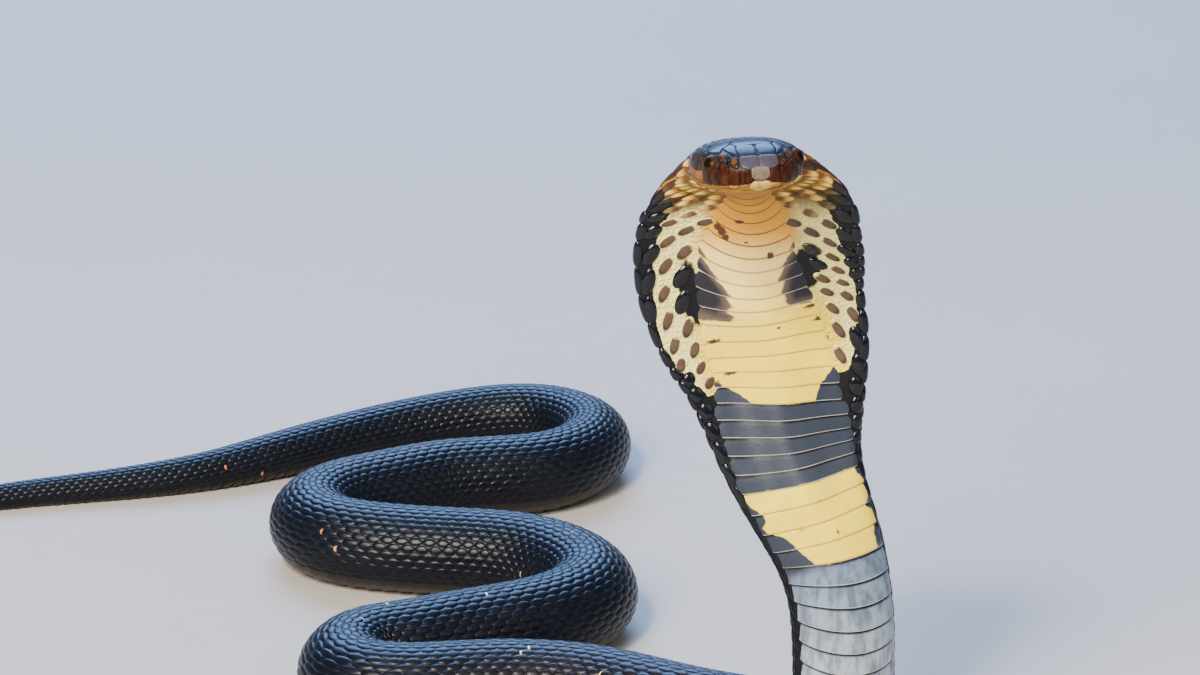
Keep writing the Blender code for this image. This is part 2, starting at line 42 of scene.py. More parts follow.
# The cobra's course, the same as its solids: mm, x right, y away, z up
course = {
    "raised": [
        (-39.0, -56.0, 287.0), (-41.6, -40.0, 285.2), (-44.1, -22.0, 281.1), (-42.6, -2.0, 274.4),
        (-40.8, 12.0, 256.0),
        (-40.8, 18.0, 234.6), (-37.5, 22.0, 212.5), (-31.1, 23.0, 191.2), (-27.1, 21.0, 170.8),
        (-23.2, 18.0, 150.6), (-15.9, 14.0, 130.7), (-7.3, 10.0, 110.8), (-2.3, 7.0, 90.3),
        (-0.6, 7.5, 68.3), (-0.6, 12.0, 46.6), (-5.0, 24.0, 27.5),
    ],
    "floor": [
        (-19.0, 37.5), (-39.6, 47.0), (-64.7, 58.4), (-99.2, 77.5), (-137.1, 84.5), (-165.0, 81.5),
        (-185.0, 80.0), (-201.0, 86.0), (-208.0, 102.0), (-201.0, 118.3), (-185.0, 126.3),
        (-160.5, 137.5), (-122.0, 157.5), (-103.5, 187.5), (-127.0, 229.5), (-168.5, 242.0),
        (-204.0, 249.5), (-226.0, 262.0), (-234.0, 283.0), (-225.0, 304.0), (-204.0, 319.5),
        (-171.8, 337.0), (-124.0, 352.5), (-102.5, 393.0), (-128.0, 436.0), (-174.4, 438.0),
        (-212.0, 423.0), (-257.0, 396.0), (-297.1, 375.0), (-343.2, 361.0), (-390.6, 349.0),
        (-432.0, 333.0), (-468.0, 311.0), (-494.0, 283.0),
    ],
    "floorHeight": 19.0,
    "liftsOff": (300.0, 350.0),      # mm from the snout
    "sink": 0.6,                     # mm of belly pressed flat
    "middle": (-237.4, 199.6, 0.0),
}

# Distance from the snout, half width, height of the back, depth of the belly, all in mm
girth = np.array([
    (0.0, 0.0, 0.0, 0.0), (0.25, 3.9, 1.9, 2.2), (1.0, 7.4, 3.4, 4.2), (2.5, 10.4, 4.9, 5.8),
    (5.0, 13.2, 6.6, 7.2), (10.0, 16.4, 8.7, 8.3), (15.5, 18.4, 9.8, 8.8), (22.0, 19.8, 10.2, 9.3),
    (30.0, 20.5, 10.3, 9.8), (37.0, 20.7, 10.2, 10.0), (44.0, 20.6, 10.1, 9.9),
    (48.0, 22.4, 10.0, 9.7), (52.0, 26.2, 9.9, 9.3), (56.0, 30.0, 9.6, 8.9), (60.0, 32.9, 9.4, 8.5),
    (68.0, 37.4, 9.0, 8.0), (76.0, 40.8, 9.0, 8.0), (88.0, 43.3, 9.0, 8.0), (103.0, 44.8, 9.5, 8.5),
    (112.0, 44.6, 9.7, 8.9), (125.0, 42.9, 10.0, 9.5), (135.0, 41.5, 10.4, 9.9),
    (147.0, 39.3, 11.0, 10.5), (157.0, 36.4, 12.0, 11.2), (168.0, 33.4, 13.0, 12.0),
    (190.0, 28.6, 15.0, 14.0), (212.0, 24.8, 17.0, 16.0), (233.0, 22.4, 18.0, 17.0),
    (254.0, 21.0, 19.0, 18.5), (275.0, 20.8, 19.5, 19.0), (330.0, 20.3, 20.0, 19.0),
    (480.0, 20.8, 20.5, 19.5), (640.0, 21.3, 21.0, 20.0), (800.0, 20.8, 20.5, 19.5),
    (930.0, 20.3, 20.2, 19.3), (1040.0, 19.0, 19.0, 18.2), (1110.0, 16.8, 17.0, 16.2),
    (1180.0, 14.0, 14.2, 13.4), (1250.0, 11.9, 12.0, 11.3), (1300.0, 9.3, 9.5, 9.0),
    (1350.0, 7.5, 7.7, 7.2), (1400.0, 6.2, 6.3, 6.0), (1460.0, 3.9, 4.0, 3.8),
    (1500.0, 2.0, 2.1, 2.0), (1530.0, 0.9, 0.9, 0.9),
])

hoodForm = {
    "spread": np.array([(48.0, 0.0), (60.0, 0.6), (78.0, 1.0), (150.0, 1.0), (200.0, 0.55),
                        (255.0, 0.0), (1600.0, 0.0)]),
    "edge": 0.34,       # thickness at the rim as a share of the spine's
    "core": 0.40,
    "curl": 7.0,        # mm that the rim bends forward
    "rimPower": 8.0,
}

# Distance from the snout, turn to the right and dip of the belly's facing, in degrees
bellyFacing = np.array([
    (0.0, 20.0, 80.0), (36.0, 20.0, 80.0), (46.0, 12.0, 76.0), (62.0, 0.0, 45.0), (80.0, 0.0, 12.0),
    (110.0, 0.0, 0.0),
    (160.0, 2.0, 0.0), (200.0, 12.0, 0.0), (240.0, 14.0, 0.0), (285.0, 12.0, 0.0),
    (315.0, 14.0, 25.0), (345.0, 20.0, 65.0), (375.0, 20.0, 90.0), (1600.0, 20.0, 90.0),
])

# Distance from the snout, degrees down from the crown, reach along and round, height, in mm
headForms = [
    (16.0, 54.0, 5.0, 1.9, 0.8),     # ridge over the eye
    (9.0, 66.0, 3.0, 2.2, -0.6),     # hollow between nostril and eye
    (30.0, 66.0, 7.5, 5.0, 0.6),     # jaw muscle
    (19.0, 102.0, 10.0, 1.6, 0.4),   # upper lip
]


def readTable(table, along):
    knots, rows = table[:, 0], table[:, 1:]
    step = np.diff(knots)
    slope = np.diff(rows, axis=0) / step[:, None]
    tangent = np.zeros_like(rows)
    product = slope[:-1] * slope[1:]
    total = slope[:-1] + slope[1:]
    tangent[1:-1] = np.where(product > 0, 2 * product / np.where(total == 0, 1, total), 0)
    tangent[0], tangent[-1] = slope[0], slope[-1]
    along = np.clip(np.asarray(along, float), knots[0], knots[-1])
    span = np.clip(np.searchsorted(knots, along, side="right") - 1, 0, len(step) - 1)
    width = step[span]
    part = ((along - knots[span]) / width)[..., None]
    width = width[..., None]
    start, end = rows[span], rows[span + 1]
    pull = part * (1 - part) * ((1 - part) * tangent[span] - part * tangent[span + 1]) * width
    return start + (end - start) * part * part * (3 - 2 * part) + pull


def smoothStep(low, high, value):
    part = np.clip((value - low) / (high - low), 0, 1)
    return part * part * (3 - 2 * part)


def naturalSpline(knots, points, reads):
    count = len(knots)
    step = np.diff(knots)
    system = np.eye(count)
    rightSide = np.zeros((count, 3))
    slope = np.diff(points, axis=0) / step[:, None]
    for i in range(1, count - 1):
        system[i, i - 1:i + 2] = step[i - 1], 2 * (step[i - 1] + step[i]), step[i]
        rightSide[i] = 6 * (slope[i] - slope[i - 1])
    bend = np.linalg.solve(system, rightSide)
    span = np.clip(np.searchsorted(knots, reads, side="right") - 1, 0, count - 2)
    width = step[span][:, None]
    left = ((knots[span + 1] - reads) / step[span])[:, None]
    right = 1 - left
    straight = left * points[span] + right * points[span + 1]
    return straight + ((left**3 - left) * bend[span] + (right**3 - right) * bend[span + 1]) * width**2 / 6


def traceCourse():
    knots = np.array(course["raised"] + [(x, y, course["floorHeight"]) for x, y in course["floor"]])
    chord = np.concatenate([[0], np.cumsum(np.linalg.norm(np.diff(knots, axis=0), axis=1))])
    line = naturalSpline(chord, knots, np.linspace(0, chord[-1], 6001))
    along = np.concatenate([[0], np.cumsum(np.linalg.norm(np.diff(line, axis=0), axis=1))])
    depth = readTable(girth, along)[:, 2]
    onFloor = smoothStep(*course["liftsOff"], along)
    line[:, 2] += onFloor * (depth - course["sink"] - line[:, 2])
    tailward = np.gradient(line, along, axis=0)
    tailward /= np.linalg.norm(tailward, axis=1)[:, None]
    turn, dip = np.radians(readTable(bellyFacing, along)).T
    belly = np.stack([np.sin(turn) * np.cos(dip), -np.cos(turn) * np.cos(dip), -np.sin(dip)], axis=1)
    belly -= np.sum(belly * tailward, axis=1)[:, None] * tailward
    belly /= np.linalg.norm(belly, axis=1)[:, None]
    return along, line - np.array(course["middle"]), np.cross(belly, tailward), -belly


alongTrace, centreTrace, sideTrace, backTrace = traceCourse()
bodyLength = alongTrace[-1]


def readTrace(values, along):
    return np.stack([np.interp(along, alongTrace, values[:, i]) for i in range(3)], axis=-1)


def headBox(along):
    # power of the section's outline: below 1 it is squarer, as on the head
    return 1 - 0.2 * (1 - smoothStep(40, 60, along))


def section(along, angle):
    halfWidth, back, belly = np.moveaxis(readTable(girth, along), -1, 0)
    spread = readTable(hoodForm["spread"], along)[..., 0]
    cos, sin = np.cos(angle), np.sin(angle)
    boxy = headBox(along)
    share = np.sign(cos) * np.abs(cos)**boxy
    roundHeight = np.abs(sin)**boxy
    core = hoodForm["edge"] + (1 - hoodForm["edge"]) * np.exp(-(share / hoodForm["core"])**2)
    rim = np.sqrt(np.clip(1 - np.abs(share)**hoodForm["rimPower"], 0, 1))
    height = (1 - spread) * roundHeight + spread * core * rim
    up = np.where(sin > 0, back, -belly) * height - spread * hoodForm["curl"] * share**2
    return halfWidth * share, up


def downTurnOf(angle):
    # degrees down from the crown, on either side
    return 90 - np.degrees(np.arctan2(np.sin(angle), np.abs(np.cos(angle))))


def headSwell(along, angle):
    halfWidth = readTable(girth, along)[..., 0]
    down = downTurnOf(angle)
    height = np.zeros(np.shape(along))
    for middle, turn, reach, spread, rise in headForms:
        roundOff = np.radians(down - turn) * 0.75 * halfWidth
        height += rise * np.exp(-((along - middle) / reach)**2 - (roundOff / spread)**2)
    return height * (1 - smoothStep(42, 50, along))


def skinPoint(along, angle):
    # metres; angle is 0 at the right side, a quarter turn at the back
    along, angle = np.broadcast_arrays(np.asarray(along, float), np.asarray(angle, float))
    across, up = section(along, angle)
    size = np.hypot(across, up) + 1e-6
    out = 1 + headSwell(along, angle) / size
    point = readTrace(centreTrace, along)
    point += (across * out)[..., None] * readTrace(sideTrace, along)
    point += (up * out)[..., None] * readTrace(backTrace, along)
    return point * mm


def skinNormal(along, angle, spot):
    ahead = skinPoint(along + 0.3, angle) - spot
    beside = skinPoint(along, angle - 0.02) - spot
    normal = np.cross(beside, ahead)
    return normal / (np.linalg.norm(normal, axis=-1)[..., None] + 1e-12)


def raisedPoint(along, angle, lift):
    # skin point pushed out along its normal by lift mm, never below the floor
    spot = skinPoint(along, angle)
    spot = spot + skinNormal(along, angle, spot) * (np.asarray(lift) * mm)[..., None]
    spot[..., 2] = np.maximum(spot[..., 2], 0.0)
    return spot


print("course traced,", round(bodyLength), "mm")

# Girth measured over the skin from the middle of the back, in mm, and back to an angle
girthPitch = 2.0
girthStops = np.arange(0.0, bodyLength + girthPitch, girthPitch)
downStops = np.linspace(0, np.pi, 241)


def measureGirth():
    along = np.repeat(girthStops[:, None], len(downStops), axis=1)
    across, up = section(along, np.broadcast_to(np.pi / 2 - downStops, along.shape))
    step = np.hypot(np.diff(across, axis=1), np.diff(up, axis=1))
    return np.concatenate([np.zeros((len(girthStops), 1)), np.cumsum(step, axis=1)], axis=1)


overSkin = measureGirth()
shareStops = np.linspace(0, 1, 241)
downAtShare = np.array([np.interp(shareStops * row[-1], row, downStops) for row in overSkin])


def halfGirth(along):
    return np.interp(along, girthStops, overSkin[:, -1])


def readBetween(table, row, column):
    # value between the four nearest entries
    row = np.clip(row, 0, len(table) - 1.001)
    i, j = row.astype(int), np.clip(column.astype(int), 0, table.shape[1] - 2)
    a, b = row - i, column - j
    top = table[i, j] * (1 - b) + table[i, j + 1] * b
    low = table[i + 1, j] * (1 - b) + table[i + 1, j + 1] * b
    return top * (1 - a) + low * a


def angleAt(along, roundMm):
    # roundMm is the distance over the skin from the middle of the back, right side positive
    share = np.clip(np.abs(roundMm) / halfGirth(along), 0, 1) * (len(shareStops) - 1)
    return np.pi / 2 - np.sign(roundMm) * readBetween(downAtShare, along / girthPitch, share)


def roundAt(along, angle):
    # the other way: distance over the skin from the middle of the back, right side positive
    turned = np.mod(np.pi / 2 - angle + np.pi, 2 * np.pi) - np.pi
    down = np.abs(turned) / np.pi * (len(downStops) - 1)
    return np.sign(turned) * readBetween(overSkin, along / girthPitch, down)


# Belly scutes: distance from the snout, length, reach as a share of the half width, bow in mm
scuteSizes = np.array([
    (45.0, 3.6, 0.42, 3.0), (65.0, 3.9, 0.29, 5.5), (76.0, 4.7, 0.265, 7.4), (83.0, 5.6, 0.32, 7.4),
    (90.0, 5.7, 0.366, 6.6), (97.0, 5.7, 0.40, 5.5), (111.0, 6.1, 0.47, 4.9), (119.0, 6.1, 0.505, 3.8),
    (125.0, 5.9, 0.535, 1.8), (136.0, 6.8, 0.594, 0.9), (151.0, 7.2, 0.65, 0.7), (167.3, 6.9, 0.775, 0.6),
    (189.0, 6.9, 0.92, 0.8), (196.0, 6.9, 0.94, 0.9), (201.0, 8.3, 0.95, 1.0), (228.0, 8.3, 0.965, 1.4),
    (235.0, 8.8, 0.97, 1.8), (246.0, 8.3, 0.975, 2.4), (290.0, 8.6, 0.97, 2.4), (440.0, 9.0, 0.94, 1.0),
    (560.0, 7.4, 0.92, 1.0), (1000.0, 7.0, 0.90, 0.9), (1240.0, 5.6, 0.88, 0.8), (1400.0, 4.6, 0.86, 0.6),
    (1530.0, 2.6, 0.84, 0.4),
])
scutePhase = 167.3
# how much the scutes lean: mm from the snout, mm further from the snout for each mm to the right
scuteLean = np.array([
    (45.0, 0.0), (80.0, 0.04), (100.0, 0.10), (120.0, 0.19), (135.0, 0.21), (150.0, 0.17), (167.0, 0.13),
    (240.0, 0.12), (270.0, 0.06), (320.0, 0.0), (1600.0, 0.0),
])


def scuteAngle(along):
    # how far the belly scutes reach up each side, as the angle below the side line
    share = readTable(scuteSizes, along)[..., 1]
    return np.arccos(np.clip(share, 0, 0.999)**(1 / headBox(along)))


def scuteRound(along):
    # the same edge as a distance over the skin from the middle of the back
    return np.abs(roundAt(along, -scuteAngle(along)))


def scuteEdges(start, end):
    edges = [scutePhase]
    while edges[-1] < end:
        edges.append(edges[-1] + readTable(scuteSizes, edges[-1])[0])
    while edges[0] > start:
        edges.insert(0, edges[0] - readTable(scuteSizes, edges[0])[0])
    return np.array([edge for edge in edges if start < edge < end])


# Markings, as distances in mm inside the edge of each patch of colour; materials sharpen them
markings = {
    # where the yellow throat ends: mm across the belly, mm from the snout
    "throatEnd": np.array([(-40.0, 152.3), (-26.0, 157.8), (-18.0, 162.3), (-11.0, 167.3), (14.0, 167.3),
                           (15.5, 160.8), (19.0, 158.3), (24.0, 152.3), (40.0, 147.3)]),
    "throatStart": 20.0,             # mm from the snout
    "secondBand": (201.7, 234.9),
    "bandShare": (0.93, 0.98),       # of the half width, left and right
    # dark margin at the band's left: mm from the snout, mm wide
    "bandMargin": np.array([(201.5, 0.5), (206.5, 1.0), (211.5, 4.8), (216.0, 1.2), (218.5, 2.0),
                            (220.0, 6.0), (225.0, 8.0), (231.0, 9.5), (234.9, 11.5)]),
    # and at its right
    "bandRight": np.array([(201.7, 3.6), (206.0, 3.6), (208.0, 1.2), (216.5, 1.2), (218.5, 4.4),
                           (221.5, 2.0), (226.0, 1.5), (228.5, 4.0), (234.9, 4.6)]),
    "paleSideStart": 40.0, "paleSideEnd": 159.5,
    # how much of the half width is pale on the hood's front: mm from the snout, share
    "paleShare": np.array([
        (50.0, 1.15), (60.0, 1.02), (65.0, 0.92), (70.0, 0.80), (74.0, 0.74), (81.0, 0.75), (87.0, 0.785),
        (92.0, 0.805), (100.0, 0.83), (108.0, 0.86), (115.0, 0.885), (122.0, 0.915), (130.0, 0.94),
        (138.0, 0.91), (147.0, 0.88), (154.0, 0.84), (159.0, 0.80), (1600.0, 0.80)]),
    # mm that the golden colour reaches over the rim to the back, beside the head
    "goldenWrap": np.array([(44.0, 9.0), (56.0, 8.0), (66.0, 0.0), (72.0, -2.0), (1600.0, -2.0)]),
    # inner edge of the two dark throat spots: mm from the snout, mm across
    "leftSpot": np.array([(100.4, -23.0), (103.5, -20.0), (107.5, -17.5), (112.4, -14.0), (116.5, -10.0),
                          (123.5, -9.0), (125.0, -12.5), (129.5, -7.0), (131.5, -22.0)]),
    "rightSpot": np.array([(96.5, 20.0), (99.5, 17.5), (104.5, 14.8), (110.5, 11.5), (116.5, 11.5),
                           (122.5, 11.0), (125.5, 14.0), (127.5, 21.0)]),
    "spotEnds": ((100.4, 131.0), (96.5, 126.5)),    # mm from the snout, left and right spot
    "spotStep": 2.5,                 # mm that each scute shifts the spot's edge
    # black scales outside them: along, across, half length, half width
    "sideSpots": [(114.5, -24.4, 12.5, 4.2), (109.5, 22.6, 12.5, 5.2)],
    # brown flecks: along, across, half length, half width
    "flecks": [
        (83.5, -4.0, 1.2, 2.0), (87.0, -12.4, 1.8, 1.5), (89.4, -10.7, 2.1, 1.7), (91.9, -9.1, 2.0, 1.4),
        (94.0, -1.0, 0.8, 1.2), (110.5, 0.5, 0.8, 0.8), (100.5, 8.5, 2.2, 1.4), (131.5, 20.5, 1.2, 4.0),
        (137.5, 24.0, 1.3, 4.5), (146.0, 25.5, 1.5, 3.0), (134.0, -20.5, 1.0, 3.2),
        (151.0, -18.5, 1.0, 3.4), (155.5, -25.0, 2.0, 3.0), (218.5, -9.0, 0.8, 2.2),
        (224.5, 4.0, 1.6, 0.7), (210.5, 3.0, 0.8, 0.9), (214.5, 8.0, 0.6, 0.7), (133.0, -4.0, 0.6, 0.7),
        (135.5, 6.0, 0.7, 0.9), (135.0, 11.0, 0.6, 0.8), (86.5, -22.5, 2.0, 3.2),
    ],
    # ring on the hood's back: along, radius, half width, and squeeze from side to side
    "monocle": (108.0, 12.0, 3.2, 0.9),
}


farOutside = -10.0                   # mm, for a point nowhere near a patch
markedScute = 6.5                    # mm, length over which a marking changes within a scute
markEdges = scuteEdges(40.0, 400.0)


def rimRound(along):
    # distance over the skin from the middle of the back to the hood's rim
    return np.interp(along, girthStops, overSkin[:, len(downStops) // 2])


def unbow(along, across, halfWidth):
    # distance from the snout with the bow of the scutes taken out, and the place within a scute, 0 to 1
    _, reach, bow = np.moveaxis(readTable(scuteSizes, along), -1, 0)
    flat = along + bow * np.minimum(np.abs(across) / (reach * halfWidth + 1e-6), 1)**2
    flat -= readTable(scuteLean, along)[..., 0] * across
    edges = markEdges[np.clip(np.searchsorted(markEdges, flat) - 1, 0, len(markEdges) - 1)]
    return flat, np.clip((flat - edges) / markedScute, 0, 1)


def yellowInside(flat, across, halfWidth):
    throat = np.interp(across, *markings["throatEnd"].T) - flat
    throat = np.minimum(throat, flat - markings["throatStart"])
    start, end = markings["secondBand"]
    leftShare, rightShare = markings["bandShare"]
    left = across + halfWidth * leftShare - np.interp(flat, *markings["bandMargin"].T)
    right = halfWidth * rightShare - np.interp(flat, *markings["bandRight"].T) - across
    band = np.minimum(np.minimum(flat - start, end - flat), np.minimum(left, right))
    return np.maximum(throat, band)


def spotInside(flat, withinScute, across):
    step = markings["spotStep"] * (withinScute - 0.5)
    left = np.interp(flat, *markings["leftSpot"].T) - across
    right = across - np.interp(flat, *markings["rightSpot"].T)
    insides = [np.minimum(edge + step, np.minimum(flat - start, end - flat))
               for edge, (start, end) in zip((left, right), markings["spotEnds"])]
    return np.maximum(*insides)


def ovalsInside(ovals, along, across):
    inside = np.full(np.shape(along), farOutside)
    for middle, side, halfLong, halfWide in ovals:
        away = np.hypot((along - middle) / halfLong, (across - side) / halfWide)
        inside = np.maximum(inside, (1 - away) * min(halfLong, halfWide))
    return inside


def paleSideInside(along, angle, across, halfWidth):
    # cream side of the hood's front, between the scutes and the black rim
    rimShare = readTable(markings["paleShare"], along)[..., 0]
    inside = np.minimum(rimShare * halfWidth - np.abs(across), markings["paleSideEnd"] - along)
    behindRim = rimRound(along) - np.abs(roundAt(along, angle))
    wrap = readTable(markings["goldenWrap"], along)[..., 0]
    front = np.where(np.sin(angle) < 0, inside, wrap - behindRim)
    return np.minimum(np.minimum(inside, front), along - markings["paleSideStart"])


def monocleInside(along, angle):
    middle, radius, halfWidth, squeeze = markings["monocle"]
    away = np.hypot(along - middle, roundAt(along, angle) * squeeze)
    ring = halfWidth - np.abs(away - radius)
    return np.where(np.sin(angle) > 0, ring, farOutside)


def paintMasks(along, angle):
    along, angle = np.broadcast_arrays(along, angle)
    across, _ = section(along, angle)
    halfWidth = readTable(girth, along)[..., 0]
    flat, withinScute = unbow(along, across, halfWidth)
    return {
        "yellow": yellowInside(flat, across, halfWidth),
        "spot": spotInside(flat, withinScute, across),
        "sideSpot": ovalsInside(markings["sideSpots"], along, across),
        "fleck": ovalsInside(markings["flecks"], along, across),
        "paleSide": paleSideInside(along, angle, across, halfWidth),
        "monocle": monocleInside(along, angle),
        "alongMm": along,
        "besideScute": np.abs(across) - readTable(scuteSizes, along)[..., 1] * halfWidth,
    }


def addObject(name, data):
    thing = bpy.data.objects.new(name, data)
    bpy.context.scene.collection.objects.link(thing)
    return thing


def addMesh(name, points, faces, attributes, uv, material):
    # faces is a list of arrays of quads or triangles; uv has a row for each point or each corner
    mesh = bpy.data.meshes.new(name)
    corners = np.concatenate([block.ravel() for block in faces])
    sizes = np.concatenate([np.full(len(block), block.shape[1]) for block in faces])
    starts = np.concatenate([[0], np.cumsum(sizes)[:-1]])
    mesh.vertices.add(len(points))
    mesh.vertices.foreach_set("co", np.asarray(points, np.float32).ravel())
    mesh.loops.add(len(corners))
    mesh.loops.foreach_set("vertex_index", corners.astype(np.int32))
    mesh.polygons.add(len(sizes))
    mesh.polygons.foreach_set("loop_start", starts.astype(np.int32))
    mesh.update(calc_edges=True)
    for key, values in attributes.items():
        layer = mesh.attributes.new(key, "FLOAT", "POINT")
        layer.data.foreach_set("value", np.asarray(values, np.float32).ravel())
    uvLayer = mesh.uv_layers.new(name="OFBake")
    cornerUv = uv if len(uv) == len(corners) else uv[corners]
    uvLayer.data.foreach_set("uv", np.asarray(cornerUv, np.float32).ravel())
    mesh.shade_smooth()
    mesh.materials.append(material)
    piece = addObject(name, mesh)
    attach(piece, "root")
    print(name, len(points), "points,", int(np.sum(sizes - 2)), "triangles")
    return piece


def gridFaces(count, rows, columns):
    # quads of count grids of rows x columns points, one grid after another
    index = np.arange(rows * columns).reshape(rows, columns)
    quad = np.stack([index[:-1, :-1], index[:-1, 1:], index[1:, 1:], index[1:, :-1]], -1).reshape(-1, 4)
    return (np.arange(count)[:, None, None] * rows * columns + quad[None]).reshape(-1, 4)


def discGrid(size):
    # a square grid bent into a disc: ring from 0 at the middle to 1 at the rim, and the turn round it
    line = np.linspace(-1, 1, size)
    u, v = (part.ravel() for part in np.meshgrid(line, line, indexing="ij"))
    steep = np.abs(u) >= np.abs(v)
    ring = np.where(steep, u, v)
    turn = np.where(steep, np.pi / 4 * v / np.where(u == 0, 1, u),
                    np.pi / 2 - np.pi / 4 * u / np.where(v == 0, 1, v))
    turn = np.where(ring < 0, turn + np.pi, turn)
    return np.abs(ring), np.mod(turn, 2 * np.pi)


# Layout of the textures, in shares: free ends and sides of a strip, and what a piece takes of its own size
layout = {
    "margins": (0.01, 0.02),
    "scales": 0.6, "scutes": 0.7, "shields": 0.8, "eye": 0.48,
    "spare": 5.0,                    # mm added to a stretch at both ends
    "headSpan": 90.0,                # mm over the flat chart of the head
}


def placeOnStrip(strip, ahead, turned, folds):
    ends, sides = layout["margins"]
    u, v = ends + (1 - 2 * ends) * ahead, (strip + sides + (1 - 2 * sides) * turned) / folds
    return np.stack(np.broadcast_arrays(u, v), -1)


def foldedUv(along, turned, reach):
    # the skin laid flat in a few strips side by side; reach is (start, end, strips)
    start, end, folds = reach
    stretch = (end - start) / folds
    strip = np.clip(((along - start) / stretch).astype(int), 0, folds - 1)
    return placeOnStrip(strip, (along - start - strip * stretch) / stretch, turned, folds)


print("measures and markings ready")


# Colours as they are seen, 0 to 255
palette = {
    "blackScale": (10, 12, 19),
    "blackSkin": (5, 5, 7),
    "cream": (253, 236, 140),
    "creamSkin": (255, 244, 152),
    "gold": (250, 204, 84),
    "goldSkin": (78, 46, 16),
    "brownPatch": (84, 46, 18),
    # dark front of the golden scales: partly their own core colour, partly painted shade under the scale
    # before
    "goldCoreAndShade": (108, 56, 14),
    "greyPatch": (88, 66, 50),
    "patchRim": (44, 29, 20),
    # darker ochre under the head: partly the throat's own colour, partly painted shadow of the head
    "throatTop": (222, 156, 36),
    "throatPale": (252, 222, 128),
    "throat": (253, 218, 58),
    "bodyNear": (24, 18, 22),
    "throatSeam": (128, 76, 24),
    "slate": (47, 53, 64),
    "belly": (24, 20, 20),
    "greyScute": (112, 128, 148),
    "greyScuteLight": (168, 178, 188),
    "scuteEdge": (206, 198, 188),
    "spot": (33, 31, 38),
    "spotTip": (110, 92, 74),
    "fleck": (84, 46, 20),
    # dark horn of the crown, its blue-grey tint a painted reflection of the sky
    "crown": (34, 40, 53),
    "amber": (100, 52, 10),
    "temple": (36, 28, 19),
    "lip": (62, 23, 7),
    "cheek": (158, 94, 28),
    "rostral": (116, 104, 90),
    "muzzle": (64, 65, 78),
    "mental": (212, 172, 92),
    "chin": (180, 128, 46),
    "ring": (196, 182, 150),
    "blush": (196, 104, 60),
    "eye": (66, 36, 14),
    "eyeRing": (50, 45, 42),
    "mouth": (20, 12, 9),
    "pupil": (22, 12, 6),
}


# Where colours change along the body, from and to, in mm from the snout
stretches = {
    "golden": (86.0, 70.0),
    "chin": (76.0, 66.0), "throatPale": (86.0, 104.0), "throatDeep": (112.0, 140.0),
    "sharpSeams": (116.0, 94.0), "slateEnd": (233.0, 238.0), "lightGrey": (232.0, 280.0),
    "darkBelly": (300.0, 345.0), "raised": (345.0, 300.0),
    "rust": (72.0, 50.0), "freckles": (240.0, 260.0), "farBends": (760.0, 860.0),
    "nearStart": (270.0, 330.0), "nearEnd": (540.0, 440.0),
}


def shade(name):
    # colour of the palette in Blender's own linear numbers
    part = np.array(palette[name]) / 255
    part = np.where(part <= 0.04045, part / 12.92, ((part + 0.055) / 1.055)**2.4)
    return (*part.tolist(), 1.0)


def feed(tree, socket, value):
    if isinstance(value, bpy.types.NodeSocket):
        tree.links.new(value, socket)
    else:
        socket.default_value = value


def addNode(tree, kind, inputs=None, **settings):
    node = tree.nodes.new(kind)
    for key, value in settings.items():
        setattr(node, key, value)
    for key, value in (inputs or {}).items():
        feed(tree, node.inputs[key], value)
    return node


def readMark(tree, name):
    return addNode(tree, "ShaderNodeAttribute", attribute_name=name).outputs["Fac"]


def calculate(tree, operation, first, second):
    return addNode(tree, "ShaderNodeMath", {0: first, 1: second}, operation=operation).outputs[0]


def times(tree, first, second):
    return calculate(tree, "MULTIPLY", first, second)


def plus(tree, first, second):
    return calculate(tree, "ADD", first, second)


def minus(tree, first, second):
    return calculate(tree, "SUBTRACT", first, second)


def greyOf(tree, level):
    return addNode(tree, "ShaderNodeCombineColor", {0: level, 1: level, 2: level}).outputs[0]


def ramp(tree, value, low, high, start=0.0, end=1.0):
    return addNode(tree, "ShaderNodeMapRange", {
        "Value": value, "From Min": low, "From Max": high, "To Min": start, "To Max": end,
    }, interpolation_type="SMOOTHSTEP").outputs["Result"]


def fadeAlong(tree, stretch, start=0.0, end=1.0):
    return ramp(tree, readMark(tree, "alongMm"), *stretches[stretch], start, end)


def mixColours(tree, mask, first, second, mode="MIX"):
    # sockets 6 and 7 are the colours of the node's colour mode
    node = addNode(tree, "ShaderNodeMix", data_type="RGBA", blend_type=mode)
    for place, value in ((0, mask), (6, first), (7, second)):
        feed(tree, node.inputs[place], value)
    return node.outputs[2]


def noise(tree, scale, detail=3.0, roughness=0.55, stretch=None):
    spot = addNode(tree, "ShaderNodeTexCoord").outputs["Object"]
    if stretch:
        spot = addNode(tree, "ShaderNodeMapping", {"Vector": spot, "Scale": stretch}).outputs["Vector"]
    return addNode(tree, "ShaderNodeTexNoise", {
        "Vector": spot, "Scale": scale, "Detail": detail, "Roughness": roughness}).outputs["Fac"]


def newGroup(name, inputs, outputs):
    group = bpy.data.node_groups.new(name, "ShaderNodeTree")
    for label, kind, value in inputs:
        socket = group.interface.new_socket(label, in_out="INPUT", socket_type=kind)
        socket.default_value = value
    for label, kind in outputs:
        group.interface.new_socket(label, in_out="OUTPUT", socket_type=kind)
    return group, group.nodes.new("NodeGroupInput").outputs, group.nodes.new("NodeGroupOutput").inputs


def fillGroup(tree, group, inputs):
    node = tree.nodes.new("ShaderNodeGroup")
    node.node_tree = group
    for key, value in inputs.items():
        feed(tree, node.inputs[key], value)
    return node


